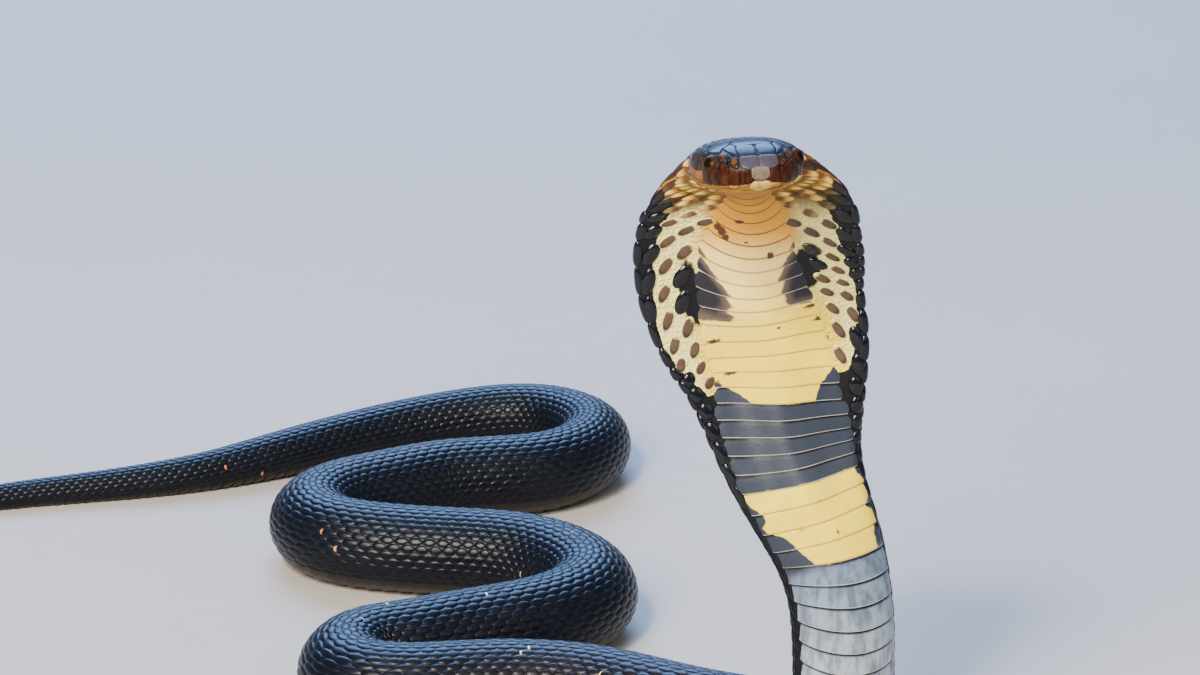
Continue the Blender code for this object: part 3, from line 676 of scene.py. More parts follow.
def makeRaggedEdge():
    # turns mm inside a patch into a mask whose edge wanders a little
    group, given, result = newGroup("raggedEdge", [
        ("Inside", "NodeSocketFloat", 0.0), ("Wander", "NodeSocketFloat", 1.5),
        ("Softness", "NodeSocketFloat", 0.3), ("Scale", "NodeSocketFloat", 500.0),
    ], [("Mask", "NodeSocketFloat")])
    grain = noise(group, given["Scale"], 4.0, 0.6)
    wander = times(group, minus(group, grain, 0.5), given["Wander"])
    inside = plus(group, given["Inside"], wander)
    share = calculate(group, "DIVIDE", inside, given["Softness"])
    group.links.new(ramp(group, share, -1.0, 1.0), result["Mask"])
    return group


raggedEdge = makeRaggedEdge()


def makeMarks():
    # every marking of the cobra as a mask, the same on skin, scales and scutes
    group, _, result = newGroup("cobraMarks", [], [
        (label, "NodeSocketFloat") for label in ("Yellow", "Spot", "Fleck", "Pale", "Ring", "Golden")])
    masks = {}
    for label, name, wander, softness, scale in (
            ("Yellow", "yellow", 2.6, 0.35, 260.0), ("Spot", "spot", 3.4, 0.7, 300.0),
            ("Fleck", "fleck", 1.2, 0.3, 900.0), ("Pale", "paleSide", 2.2, 0.09, 350.0),
            ("Ring", "monocle", 3.0, 0.8, 220.0)):
        edge = fillGroup(group, raggedEdge, {
            "Inside": readMark(group, name), "Wander": wander, "Softness": softness, "Scale": scale})
        masks[label] = edge.outputs["Mask"]
    blackSide = fillGroup(group, raggedEdge, {"Inside": readMark(group, "sideSpot"), "Softness": 0.5})
    masks["Pale"] = times(group, masks["Pale"], minus(group, 1.0, blackSide.outputs["Mask"]))
    for label, mask in masks.items():
        group.links.new(mask, result[label])
    group.links.new(fadeAlong(group, "golden"), result["Golden"])
    return group


cobraMarks = makeMarks()


def makeThroatColour():
    # ochre under the head, partly the throat's own colour and partly painted shadow of the head, then
    # cream, then deep yellow
    group, _, result = newGroup("throatColour", [], [("Colour", "NodeSocketColor")])
    yellow = mixColours(group, fadeAlong(group, "throatPale"), shade("throatTop"), shade("throatPale"))
    yellow = mixColours(group, fadeAlong(group, "throatDeep"), yellow, shade("throat"))
    yellow = mixColours(group, fadeAlong(group, "chin"), yellow, shade("chin"))
    group.links.new(yellow, result["Colour"])
    return group


throatColour = makeThroatColour()


def makeFineGrain():
    # small unevenness of horn: height for a bump and a change of brightness
    group, given, result = newGroup("fineGrain", [
        ("Scale", "NodeSocketFloat", 900.0), ("Depth", "NodeSocketFloat", 0.5),
        ("Colour", "NodeSocketColor", (1, 1, 1, 1)), ("Variation", "NodeSocketFloat", 0.3),
    ], [("Height", "NodeSocketFloat"), ("Colour", "NodeSocketColor"), ("Dust", "NodeSocketFloat")])
    fine = noise(group, given["Scale"], 5.0, 0.6)
    broad = noise(group, times(group, given["Scale"], 0.12), 3.0, 0.5)
    group.links.new(times(group, fine, given["Depth"]), result["Height"])
    both = plus(group, times(group, fine, 0.5), times(group, broad, 0.5))
    low = minus(group, 1.0, given["Variation"])
    high = plus(group, 1.0, given["Variation"])
    level = addNode(group, "ShaderNodeMapRange", {
        "Value": both, "From Min": 0.3, "From Max": 0.7, "To Min": low, "To Max": high}).outputs["Result"]
    grey = greyOf(group, level)
    group.links.new(mixColours(group, 1.0, given["Colour"], grey, "MULTIPLY"), result["Colour"])
    group.links.new(ramp(group, broad, 0.5, 0.72), result["Dust"])
    return group


fineGrain = makeFineGrain()


def makeGranules():
    # small round grains of the soft skin between the scales, with painted shade between the grains and
    # painted light on their tops
    group, given, result = newGroup("granules", [
        ("Colour", "NodeSocketColor", (1, 1, 1, 1)), ("Scale", "NodeSocketFloat", 900.0),
        ("Depth", "NodeSocketFloat", 1.0), ("Shade", "NodeSocketFloat", 0.12),
    ], [("Height", "NodeSocketFloat"), ("Colour", "NodeSocketColor")])
    spot = addNode(group, "ShaderNodeTexCoord").outputs["Object"]
    cells = addNode(group, "ShaderNodeTexVoronoi", {"Vector": spot, "Scale": given["Scale"]})
    grain = ramp(group, cells.outputs["Distance"], 0.75, 0.1)
    group.links.new(times(group, grain, given["Depth"]), result["Height"])
    # painted shade in the gaps between the grains, painted light on the grains' tops
    low = minus(group, 1.0, given["Shade"])
    level = addNode(group, "ShaderNodeMapRange", {"Value": grain, "To Min": low, "To Max": 1.12})
    grey = greyOf(group, level.outputs["Result"])
    group.links.new(mixColours(group, 1.0, given["Colour"], grey, "MULTIPLY"), result["Colour"])
    return group


granuleGroup = makeGranules()


def newMaterial(name, **values):
    material = bpy.data.materials.new(name)
    material.use_nodes = True
    shader = material.node_tree.nodes["Principled BSDF"]
    for key, value in values.items():
        feed(material.node_tree, shader.inputs[key], value)
    return material, material.node_tree, shader


def finishMaterial(tree, shader, colour, roughness, height, distance):
    # distance is the bump's height in metres
    feed(tree, shader.inputs["Base Color"], colour)
    feed(tree, shader.inputs["Roughness"], roughness)
    bump = addNode(tree, "ShaderNodeBump", {"Height": height, "Distance": distance})
    tree.links.new(bump.outputs["Normal"], shader.inputs["Normal"])


def makeSkinMaterial():
    # skin between the scales: cream on the front of the hood, black elsewhere
    material, tree, shader = newMaterial("skinLook", **{"Specular IOR Level": 0.3})
    marks = fillGroup(tree, cobraMarks, {}).outputs
    pale = mixColours(tree, marks["Golden"], shade("creamSkin"), shade("goldSkin"))
    throat = fillGroup(tree, throatColour, {}).outputs["Colour"]
    pale = mixColours(tree, ramp(tree, readMark(tree, "besideScute"), 8.0, 0.0), pale, throat)
    dark = mixColours(tree, times(tree, marks["Ring"], 0.5), shade("blackSkin"), shade("ring"))
    colour = mixColours(tree, marks["Pale"], dark, pale)
    chin = ramp(tree, readMark(tree, "underHead"), -0.5, 0.5)
    colour = mixColours(tree, chin, colour, shade("chin"))
    granules = fillGroup(tree, granuleGroup, {"Colour": colour, "Scale": 700.0, "Depth": marks["Pale"]})
    folds = noise(tree, 160.0, 4.0, 0.6, (1.0, 1.0, 7.0))
    # painted shade in the troughs of the folds under the head
    foldShade = times(tree, ramp(tree, folds, 0.56, 0.40), times(tree, chin, 0.6))
    colour = mixColours(tree, foldShade, granules.outputs["Colour"], shade("brownPatch"))
    grain = fillGroup(tree, fineGrain, {"Scale": 1400.0, "Depth": 0.3, "Colour": colour, "Variation": 0.16})
    mouth = ramp(tree, readMark(tree, "mouth"), 0.0, 0.6)
    colour = mixColours(tree, mouth, shade("mouth"), grain.outputs["Colour"])
    roughness = ramp(tree, marks["Pale"], 0.0, 1.0, 0.42, 0.55)
    height = plus(tree, grain.outputs["Height"], granules.outputs["Height"])
    height = plus(tree, height, times(tree, folds, chin))
    finishMaterial(tree, shader, colour, roughness, height, 0.0005)
    return material


# Parts of a scale: lengthwise from -1 in front to 1 behind, ring from 0 at the middle to 1 at the rim
scaleParts = {
    "wander": 0.7,                   # unevenness of these parts
    "ovalBack": (-0.8, -0.55), "ovalRing": (0.98, 0.74),
    "rootBack": (0.52, -0.28), "rootRing": (1.0, 0.55),
    "rimBack": (0.0, 0.7), "rimRing": (0.25, 0.75),
    "outlineRing": (0.70, 0.94),
    "outerSide": (9.0, 3.0),         # mm from the edge of the pale side
    # share of the scales left without a freckle, near and in the far bends
    "freckle": (0.988, 0.99), "farFreckle": (0.996, 0.995), "freckleBack": (0.6, 0.8),
    "brightness": (0.8, 1.15),       # from scale to scale
    "roughness": (0.31, 0.44),
}


def makeScaleMaterial(name, specular, coat):
    # glossy horn of the back, pale ovals with a brown rear part on the front of the hood
    material, tree, shader = newMaterial(name, **{
        "Specular IOR Level": specular, "Coat Weight": coat, "Coat Roughness": 0.1})
    marks = fillGroup(tree, cobraMarks, {}).outputs
    lengthwise, ring, seed = (readMark(tree, name) for name in ("lengthwise", "ring", "seed"))
    grain = fillGroup(tree, fineGrain, {"Scale": 1100.0, "Depth": 0.5, "Variation": 0.25})
    wander = times(tree, minus(tree, noise(tree, 420.0), 0.5), scaleParts["wander"])
    back = plus(tree, lengthwise, wander)

    def part(value, name, start=0.0, end=1.0):
        return ramp(tree, value, *scaleParts[name], start, end)

    inner = part(plus(tree, ring, times(tree, wander, 0.35)), "ovalRing")
    oval = times(tree, part(back, "ovalBack"), inner)
    # on the golden shoulders the front of each scale, where it runs under the scale before, is darker:
    # partly its own dark core and partly painted shade
    root = times(tree, part(back, "rootBack"), part(ring, "rootRing", 0.75, 1.0))
    oval = times(tree, oval, minus(tree, 1.0, marks["Golden"]))
    patchMask = plus(tree, times(tree, root, marks["Golden"]), oval)
    outer = part(plus(tree, readMark(tree, "paleSide"), times(tree, seed, 6.0)), "outerSide")
    pale = mixColours(tree, marks["Golden"], shade("cream"), mixColours(
        tree, times(tree, outer, 0.9), shade("gold"), shade("patchRim")))
    patch = mixColours(tree, marks["Golden"], shade("greyPatch"), shade("goldCoreAndShade"))
    rim = times(tree, part(back, "rimBack"), part(ring, "rimRing"))
    rim = times(tree, rim, ramp(tree, marks["Golden"], 1.0, 0.0, 0.1, 0.9))
    patch = mixColours(tree, rim, patch, shade("patchRim"))
    pale = mixColours(tree, patchMask, pale, patch)
    outline = times(tree, part(ring, "outlineRing"), marks["Golden"])
    outline = plus(tree, times(tree, outline, 0.8), times(tree, times(tree, outer, marks["Golden"]), 0.75))
    pale = mixColours(tree, outline, pale, shade("patchRim"))
    near = times(tree, fadeAlong(tree, "nearEnd"), fadeAlong(tree, "nearStart"))
    black = mixColours(tree, times(tree, near, 0.8), shade("blackScale"), shade("bodyNear"))
    black = mixColours(tree, marks["Ring"], black, shade("ring"))
    rust = times(tree, fadeAlong(tree, "rust"), 0.5)
    black = mixColours(tree, rust, black, shade("brownPatch"))
    chance = plus(tree, seed, times(tree, near, 0.04))
    freckle = times(tree, part(chance, "freckle"), part(back, "freckleBack"))
    freckle = times(tree, freckle, fadeAlong(tree, "freckles"))
    far = fadeAlong(tree, "farBends")
    fewer = times(tree, far, part(seed, "farFreckle"))
    freckle = times(tree, freckle, minus(tree, 1.0, fewer))
    black = mixColours(tree, freckle, black, mixColours(tree, far, shade("cream"), shade("blush")))
    colour = mixColours(tree, marks["Pale"], black, pale)
    darkest, lightest = scaleParts["brightness"]
    level = addNode(tree, "ShaderNodeMapRange", {"Value": seed, "To Min": darkest, "To Max": lightest})
    colour = mixColours(tree, 1.0, colour, greyOf(tree, level.outputs["Result"]), "MULTIPLY")
    uneven = mixColours(tree, 1.0, colour, grain.outputs["Colour"], "MULTIPLY")
    colour = mixColours(tree, 0.6, colour, uneven)
    dusty = ramp(tree, grain.outputs["Dust"], 0.0, 1.0, *scaleParts["roughness"])
    roughness = plus(tree, dusty, times(tree, marks["Pale"], 0.12))
    finishMaterial(tree, shader, colour, roughness, grain.outputs["Height"], 0.0001)
    return material


# Parts of a scute, in mm from its rear edge or from its front edge
scuteParts = {
    "seam": (0.85, 0.35), "spotEdge": (0.42, 0.22), "lightEdge": (0.38, 0.22),    # from the rear
    "shadowedFront": (1.5, 0.5),
    "spotTip": (5.0, 0.5),           # mm inside a throat spot
    "tipStrength": 0.75, "edgeStrength": 0.8,
    "seamBelow": 0.28,               # strength of the seams low on the throat
    "streaks": (0.62, 0.34, 0.0, 0.6),
    "roughness": (0.36, 0.5),
}


def makeScuteMaterial():
    # belly scutes: yellow throat and band, slate between, grey lower on the neck
    material, tree, shader = newMaterial("scuteLook", **{"Coat Weight": 0.06, "Coat Roughness": 0.3,
                                                         "Specular IOR Level": 0.3})
    marks = fillGroup(tree, cobraMarks, {}).outputs
    rear = readMark(tree, "rear")
    yellow = fillGroup(tree, throatColour, {}).outputs["Colour"]
    strength = fadeAlong(tree, "sharpSeams", scuteParts["seamBelow"], 1.0)
    seam = times(tree, ramp(tree, rear, *scuteParts["seam"]), strength)
    yellow = mixColours(tree, seam, yellow, shade("throatSeam"))
    yellow = mixColours(tree, marks["Fleck"], yellow, shade("fleck"))
    tip = ramp(tree, readMark(tree, "spot"), *scuteParts["spotTip"])
    tip = times(tree, tip, scuteParts["tipStrength"])
    spot = mixColours(tree, tip, shade("spot"), shade("spotTip"))
    spot = mixColours(tree, ramp(tree, rear, *scuteParts["spotEdge"]), spot, shade("scuteEdge"))
    yellow = mixColours(tree, marks["Spot"], yellow, spot)
    grey = mixColours(tree, fadeAlong(tree, "lightGrey"), shade("greyScute"), shade("greyScuteLight"))
    grey = mixColours(tree, fadeAlong(tree, "darkBelly"), grey, shade("belly"))
    dark = mixColours(tree, fadeAlong(tree, "slateEnd"), shade("slate"), grey)
    raised = fadeAlong(tree, "raised")
    streaks = ramp(tree, noise(tree, 260.0, 4.0, 0.6, (1.0, 1.0, 0.3)), *scuteParts["streaks"])
    dark = mixColours(tree, times(tree, streaks, raised), dark, shade("slate"))
    front = ramp(tree, readMark(tree, "front"), *scuteParts["shadowedFront"])
    dark = mixColours(tree, front, dark, shade("blackSkin"))
    edge = times(tree, ramp(tree, rear, *scuteParts["lightEdge"]), raised)
    dark = mixColours(tree, times(tree, edge, scuteParts["edgeStrength"]), dark, shade("scuteEdge"))
    colour = mixColours(tree, marks["Yellow"], dark, yellow)
    grain = fillGroup(tree, fineGrain, {"Scale": 700.0, "Depth": 0.6, "Colour": colour, "Variation": 0.14})
    roughness = ramp(tree, grain.outputs["Dust"], 0.0, 1.0, *scuteParts["roughness"])
    finishMaterial(tree, shader, grain.outputs["Colour"], roughness, grain.outputs["Height"], 0.00012)
    return material


shieldTones = ("amber", "temple", "lip", "cheek", "rostral", "muzzle", "mental", "chin")
# Strength of the marks on the shields, and roughness of the crown and of the sides
shieldMarks = {
    "mottle": 0.45, "streaks": 0.75, "cheekStreaks": 0.7, "wrinkleShade": 0.55, "rim": 0.3,
    "roughness": (0.26, 0.4), "dullSides": 0.12, "crownCoat": 0.05,
}


def makeShieldMaterial():
    # large smooth shields of the head
    material, tree, shader = newMaterial("shieldLook", **{
        "Coat Roughness": 0.2, "Specular IOR Level": 0.13})
    # crown shields: dark horn with a blue-grey tint that is a painted reflection of the sky
    crown = shade("crown")
    weights = {name: readMark(tree, name + "Shield") for name in shieldTones}
    mottle = ramp(tree, noise(tree, 430.0, 4.0, 0.6), 0.42, 0.62)
    for name, weight in weights.items():
        dappled = times(tree, mottle, shieldMarks["mottle"])
        tinted = mixColours(tree, dappled, shade(name), shade("brownPatch"))
        crown = mixColours(tree, weight, crown, tinted)
    streaks = ramp(tree, noise(tree, 620.0, 3.0, 0.6, (1.0, 1.0, 0.18)), 0.56, 0.42)
    sides = plus(tree, weights["lip"], times(tree, weights["cheek"], shieldMarks["cheekStreaks"]))
    streaks = times(tree, times(tree, streaks, sides), shieldMarks["streaks"])
    crown = mixColours(tree, streaks, crown, shade("mouth"))
    # painted shade of wrinkles: darker horizontal lines on the chin shields, with no wrinkles in their
    # shape
    wrinkleShade = ramp(tree, noise(tree, 240.0, 4.0, 0.6, (0.4, 0.4, 4.0)), 0.56, 0.42)
    wrinkleShade = times(tree, wrinkleShade, weights["chin"])
    crown = mixColours(tree, times(tree, wrinkleShade, shieldMarks["wrinkleShade"]), crown, shade("brownPatch"))
    rim = ramp(tree, readMark(tree, "ring"), 0.86, 0.99)
    crown = mixColours(tree, times(tree, rim, shieldMarks["rim"]), crown, shade("patchRim"))
    # amber shields keep their amber in the middle and turn dark brown towards the rim: the bright middle is
    # partly their own colour and partly a painted highlight
    blotch = plus(tree, readMark(tree, "ring"), times(tree, mottle, 0.7))
    dusky = times(tree, ramp(tree, blotch, 0.3, 0.8), weights["amber"])
    crown = mixColours(tree, dusky, crown, shade("temple"))
    grain = fillGroup(tree, fineGrain, {"Scale": 800.0, "Depth": 0.5, "Colour": crown, "Variation": 0.25})
    low = plus(tree, weights["amber"], weights["temple"])
    for name in ("lip", "cheek", "chin"):
        low = plus(tree, low, weights[name])
    dusty = ramp(tree, grain.outputs["Dust"], 0.0, 1.0, *shieldMarks["roughness"])
    roughness = plus(tree, dusty, times(tree, low, shieldMarks["dullSides"]))
    feed(tree, shader.inputs["Coat Weight"], ramp(tree, low, 0.0, 1.0, shieldMarks["crownCoat"], 0.0))
    finishMaterial(tree, shader, grain.outputs["Colour"], roughness, grain.outputs["Height"], 0.00012)
    return material


def makeEyeMaterial():
    # dark iris round a black pupil, under a clear spectacle
    material, tree, shader = newMaterial("eyeLook", **{"Coat Weight": 0.03, "Coat Roughness": 0.05,
                                                       "Specular IOR Level": 0.05})
    flecks = ramp(tree, noise(tree, 1500.0, 4.0, 0.6), 0.4, 0.65)
    iris = mixColours(tree, flecks, shade("eye"), shade("temple"))
    iris = mixColours(tree, ramp(tree, readMark(tree, "pupil"), 1.0, 1.12), iris, shade("eyeRing"))
    pupil = ramp(tree, readMark(tree, "pupil"), 0.52, 0.38)
    colour = mixColours(tree, pupil, iris, shade("pupil"))
    finishMaterial(tree, shader, colour, 0.3, noise(tree, 1500.0), 0.00002)
    return material


skinLook = makeSkinMaterial()
scaleLook = makeScaleMaterial("scaleLook", 0.2, 0.01)
hoodScaleLook = makeScaleMaterial("hoodScaleLook", 0.06, 0.62)
scuteLook = makeScuteMaterial()
shieldLook = makeShieldMaterial()
eyeLook = makeEyeMaterial()
print("materials ready")


# Eyes, nostrils and mouth in mm: distance from the snout, to the side, up from the middle of the head
face = {
    "eye": (14.3, 15.2, 2.2),
    "eyeRadius": 4.35,
    "look": (0.66, 0.40, 0.62),      # to the side, up and ahead
    "nostril": (5.6, 54.0),          # mm from the snout, degrees down from the crown
    "nostrilRadius": 0.95,
    "nostrilDepth": 1.5,
    # closed mouth seen from the side: mm from the snout, mm up
    "mouthLine": np.array([(0.0, -1.9), (1.0, -3.1), (3.0, -3.9), (8.0, -4.4), (14.0, -4.7), (22.0, -4.6),
                           (31.0, -3.2), (36.5, -2.0)]),
    "mouthWidth": 0.55,
    "mouthDepth": 1.0,
}


def placeInHead(along, across, up):
    point = readTrace(centreTrace, along) + across * readTrace(sideTrace, along)
    return (point + up * readTrace(backTrace, along)) * mm


def measureReach():
    # distance over the skin from the snout tip, along lines of equal turn from the crown
    stops = np.concatenate([np.linspace(0, 1, 25)**2, np.arange(1.25, 56, 0.25)])
    turns = np.linspace(-180, 180, 145)
    line = skinPoint(stops[:, None], np.radians(90 - turns)[None]) / mm
    step = np.linalg.norm(np.diff(line, axis=0), axis=-1)
    return stops, turns, np.concatenate([np.zeros((1, len(turns))), np.cumsum(step, axis=0)])


headStops, headTurns, reachOver = measureReach()


def alongOfReach(reach, turn):
    # mm from the snout of a point at a reach over the skin, degrees down from the crown
    place = (np.clip(turn, -180, 179.99) + 180) / 360 * (len(headTurns) - 1)
    column = place.astype(int)
    part = place - column
    along = np.zeros(np.shape(reach))
    for j in np.unique(column):
        here = column == j
        first, second = (np.interp(reach[here], reachOver[:, j + k], headStops) for k in (0, 1))
        along[here] = first * (1 - part[here]) + second * part[here]
    return along


def traceMouth():
    # points along the closed mouth on the skin, both sides
    along = np.linspace(0.1, face["mouthLine"][-1, 0], 400)
    up = np.interp(along, *face["mouthLine"].T)
    belly = readTable(girth, along)[:, 2]
    seen = -up < belly
    along, sine = along[seen], (-up[seen] / belly[seen])**(1 / headBox(along[seen]))
    turn = np.arcsin(np.clip(sine, 0, 1))
    return np.concatenate([skinPoint(along, -turn), skinPoint(along, turn - np.pi)])


mouthTrace = traceMouth()


def mouthAway(points):
    # mm from the line of the closed mouth
    flat = points.reshape(-1, 3)
    away = np.array([np.min(np.linalg.norm(mouthTrace - point, axis=1)) for point in flat])
    return (away / mm).reshape(points.shape[:-1])


def faceDents(points, mouth):
    # mm that the skin is pressed in at the mouth line and the nostrils
    dent = face["mouthDepth"] * np.exp(-(mouth / face["mouthWidth"])**2)
    along, down = face["nostril"]
    for side in (-1, 1):
        nostril = skinPoint(along, np.radians(90 - side * down))
        away = np.linalg.norm(points - nostril, axis=-1) / mm
        dent = dent + face["nostrilDepth"] * np.exp(-(away / face["nostrilRadius"])**4)
    return dent


skin = {
    "sides": 96,
    "stops": [(0.0, 0.35), (50.0, 0.8), (210.0, 1.5), (330.0, 3.0), (1460.0, 1.5)],   # from, ring pitch
    "under": 0.15,                   # mm below the measured surface, so that scales stand on it
    "headEnd": 45.0, "chinEnd": 66.0,    # mm from the snout
    "awayFromMouth": 20.0,           # mm, for all points behind the head
    "strips": 8,                     # of the unwrapped skin
}


def buildSkin():
    steps = skin["stops"] + [(bodyLength, 0.0)]
    stops = np.concatenate([np.arange(start, end - pitch * 0.5, pitch)
                            for (start, pitch), (end, _) in zip(steps, steps[1:])])
    stops = np.append(stops[1:], bodyLength)
    stops = np.concatenate([[0.03, 0.1, 0.2], stops])
    sides = skin["sides"]
    turned = np.arange(sides) / sides
    along = np.repeat(stops[:, None], sides, axis=1)
    angle = np.broadcast_to(1.5 * np.pi - turned * 2 * np.pi, along.shape)
    onHead = stops < skin["headEnd"]
    mouth = np.full(along.shape, skin["awayFromMouth"])
    smooth = skinPoint(along[onHead], angle[onHead])
    mouth[onHead] = mouthAway(smooth)
    lift = np.full(along.shape, -skin["under"])
    lift[onHead] -= faceDents(smooth, mouth[onHead])
    points = raisedPoint(along, angle, lift)
    flat = points.reshape(-1, 3)
    rows = len(stops)
    index = np.arange(rows * sides).reshape(rows, sides)
    beside = np.roll(index, -1, axis=1)
    quads = np.stack([index[:-1], beside[:-1], beside[1:], index[1:]], -1)
    front = placeInHead(0.0, 0.0, 0.0)
    rear = flat[index[-1]].mean(axis=0)
    flat = np.concatenate([flat, [front], [rear]])
    noseTip, tailTip = rows * sides, rows * sides + 1
    noseFan = np.stack([beside[0], index[0], np.full(sides, noseTip)], -1)
    tailFan = np.stack([index[-1], beside[-1], np.full(sides, tailTip)], -1)
    folds = skin["strips"]
    reach = (0.0, bodyLength, folds)
    nextTurned = turned + 1 / sides
    stretch = bodyLength / folds
    strip = np.clip((stops[:-1] / stretch).astype(int), 0, folds - 1)[:, None]

    def quadUv(row, turnedAt):
        return placeOnStrip(strip, (row[:, None] - strip * stretch) / stretch, turnedAt[None], folds)

    uv = np.stack([quadUv(stops[:-1], turned), quadUv(stops[:-1], nextTurned),
                   quadUv(stops[1:], nextTurned), quadUv(stops[1:], turned)], 2).reshape(-1, 2)
    fans = []
    for stop in (0.0, bodyLength):
        here = foldedUv(np.full(sides, stop), turned, reach)
        there = foldedUv(np.full(sides, stop), nextTurned, reach)
        fans.append(np.stack([there, here, (here + there) / 2], 1).reshape(-1, 2))
    uv = np.concatenate([uv] + fans)
    marks = paintMasks(along, angle)
    marks["mouth"] = mouth
    mouthUp = np.interp(along, *face["mouthLine"].T)
    under = np.minimum(mouthUp - section(along, angle)[1], skin["chinEnd"] - along)
    marks["underHead"] = np.where(along < skin["chinEnd"] + 2, under, farOutside)
    marks = {key: np.append(values.ravel(), [values[0, 0], values[-1, 0]]) for key, values in marks.items()}
    faces = [quads.reshape(-1, 4), noseFan, tailFan]
    piece = addMesh("skin", flat, faces, marks, uv, skinLook)
    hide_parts("head", "lower_jaw", "hood", "neck", "tail_root", "tail_tip",
                *[f"body_{i:02d}" for i in range(1, 10)])


buildSkin()


# Scales of the back and sides: distance from the snout, pitch, row spacing, then half length as a share
# of the pitch and half width as a share of the spacing
scaleRows = np.array([
    (36.0, 4.4, 3.4, 0.58, 0.60), (48.0, 5.4, 3.6, 0.80, 0.48), (58.0, 6.8, 4.2, 0.86, 0.42),
    (70.0, 7.6, 5.0, 0.74, 0.40), (78.0, 8.8, 6.4, 0.50, 0.34), (95.0, 9.0, 7.0, 0.50, 0.31),
    (145.0, 9.0, 6.6, 0.50, 0.33), (171.0, 8.2, 5.4, 0.50, 0.46), (203.0, 8.2, 4.6, 0.55, 0.58),
    (250.0, 8.0, 3.9, 0.58, 0.62), (340.0, 7.2, 3.6, 0.58, 0.62), (440.0, 6.8, 3.55, 0.58, 0.62),
    (560.0, 6.3, 3.5, 0.58, 0.62), (1000.0, 6.1, 3.45, 0.58, 0.62), (1180.0, 5.7, 3.3, 0.58, 0.62),
    (1250.0, 5.2, 3.05, 0.58, 0.64), (1350.0, 4.7, 2.7, 0.58, 0.64), (1450.0, 4.1, 2.15, 0.58, 0.64),
    (1530.0, 3.1, 1.2, 0.58, 0.64),
])
scaleShape = {
    "rise": 0.62, "sunk": 0.34, "tilt": 0.20,    # mm
    "outline": (1.55, 2.1),          # 1 is a diamond and 2 an oval, in front and behind
    # lean of the scales towards the rim: mm from the snout, degrees
    "hoodTurn": np.array([(50.0, 65.0), (75.0, 74.0), (85.0, 70.0), (93.0, 60.0), (102.0, 50.0),
                          (112.0, 43.0), (129.0, 36.0), (147.0, 25.0), (167.0, 14.0), (198.0, 5.0),
                          (238.0, 0.0), (1600.0, 0.0)]),
    # columns of ovals on the hood's front: mm from the snout, mm across of the second column
    "frontColumn": np.array([(72.0, 22.5), (85.0, 24.0), (99.0, 25.0), (112.0, 27.5), (124.0, 28.3),
                             (141.0, 28.6), (150.0, 27.0), (162.0, 25.0)]),
    "frontOffsets": (-7.0, 0.0, 7.0, 13.2),      # mm across of each column from the second
    "frontStretch": (76.0, 160.0),   # mm from the snout
    "frontMargins": (2.0, 2.5),      # mm round that stretch, and past the rim, without other scales
    "frontInset": (1.2, 1.6),        # mm that a column keeps from the scutes and from the rim
    "start": 26.0, "neckStart": 52.0,    # mm from the snout
    "sizeJitter": 0.08, "turnJitter": np.radians(5),
    # how much wider, longer and thicker the rim's beads and the black side scales are
    "beads": (0.32, 0.04), "large": (0.30, 0.08), "thicker": 0.75, "hoodThicker": 0.35,
    "beadsFrom": (7.0, 12.0),        # mm from the rim, where the beads end
    "largeFrom": (-2.5, 0.5),        # mm inside a black side spot
    # lean towards the rim: mm over which it comes in at the rim in front, at the spine and at the rim
    # behind, and its share behind
    "turnReach": (9.0, 14.0, 16.0), "turnBehind": 0.55,
    "ringPower": 1.35, "domePower": 2.6,     # how far the grid gathers at the rim, how flat the top is
    "fullSpacing": 4.0,              # mm between rows from which scales have their full height
    "onHood": ((60.0, 80.0), (170.0, 215.0)),    # mm from the snout, where the ovals begin and end
    "frontPhase": 94.5,              # mm from the snout, a scale of the first and third column
    "frontMost": 12,                 # scales of a column to each side of that one
    # where the head's own shields end: degrees down from the crown, mm from the snout
    "headEdge": np.array([(0.0, 40.0), (20.0, 41.0), (38.0, 36.5), (50.0, 36.0), (75.0, 38.0), (90.0, 39.0),
                          (108.0, 38.5), (118.0, 34.0), (135.0, 29.0), (180.0, 27.5)]),
}


def layHoodFront(start, end):
    # roots of the ovals between the scutes and the rim, in staggered columns
    pitch = readTable(scaleRows, scaleShape["frontPhase"])[0]
    low, high = (max(start, scaleShape["frontStretch"][0]), min(end, scaleShape["frontStretch"][1]))
    roots = [np.zeros((0, 2))]
    for column, offset in enumerate(scaleShape["frontOffsets"]):
        first = scaleShape["frontPhase"] + pitch * 0.5 * (column % 2)
        along = first + pitch * np.arange(-scaleShape["frontMost"], scaleShape["frontMost"])
        along = along[(along >= low) & (along < high)]
        across = readTable(scaleShape["frontColumn"], along)[:, 0] + offset
        halfWidth = readTable(girth, along)[:, 0]
        scuteEnd = readTable(scuteSizes, along)[:, 1] * halfWidth
        fromScute, fromRim = scaleShape["frontInset"]
        keep = (across > scuteEnd + fromScute) & (across < halfWidth - fromRim)
        along, share = along[keep], (across / halfWidth)[keep]
        roundMm = np.abs(roundAt(along, -np.arccos(share)))
        roots += [np.stack([along, side * roundMm], 1) for side in (-1, 1)]
    return np.concatenate(roots)


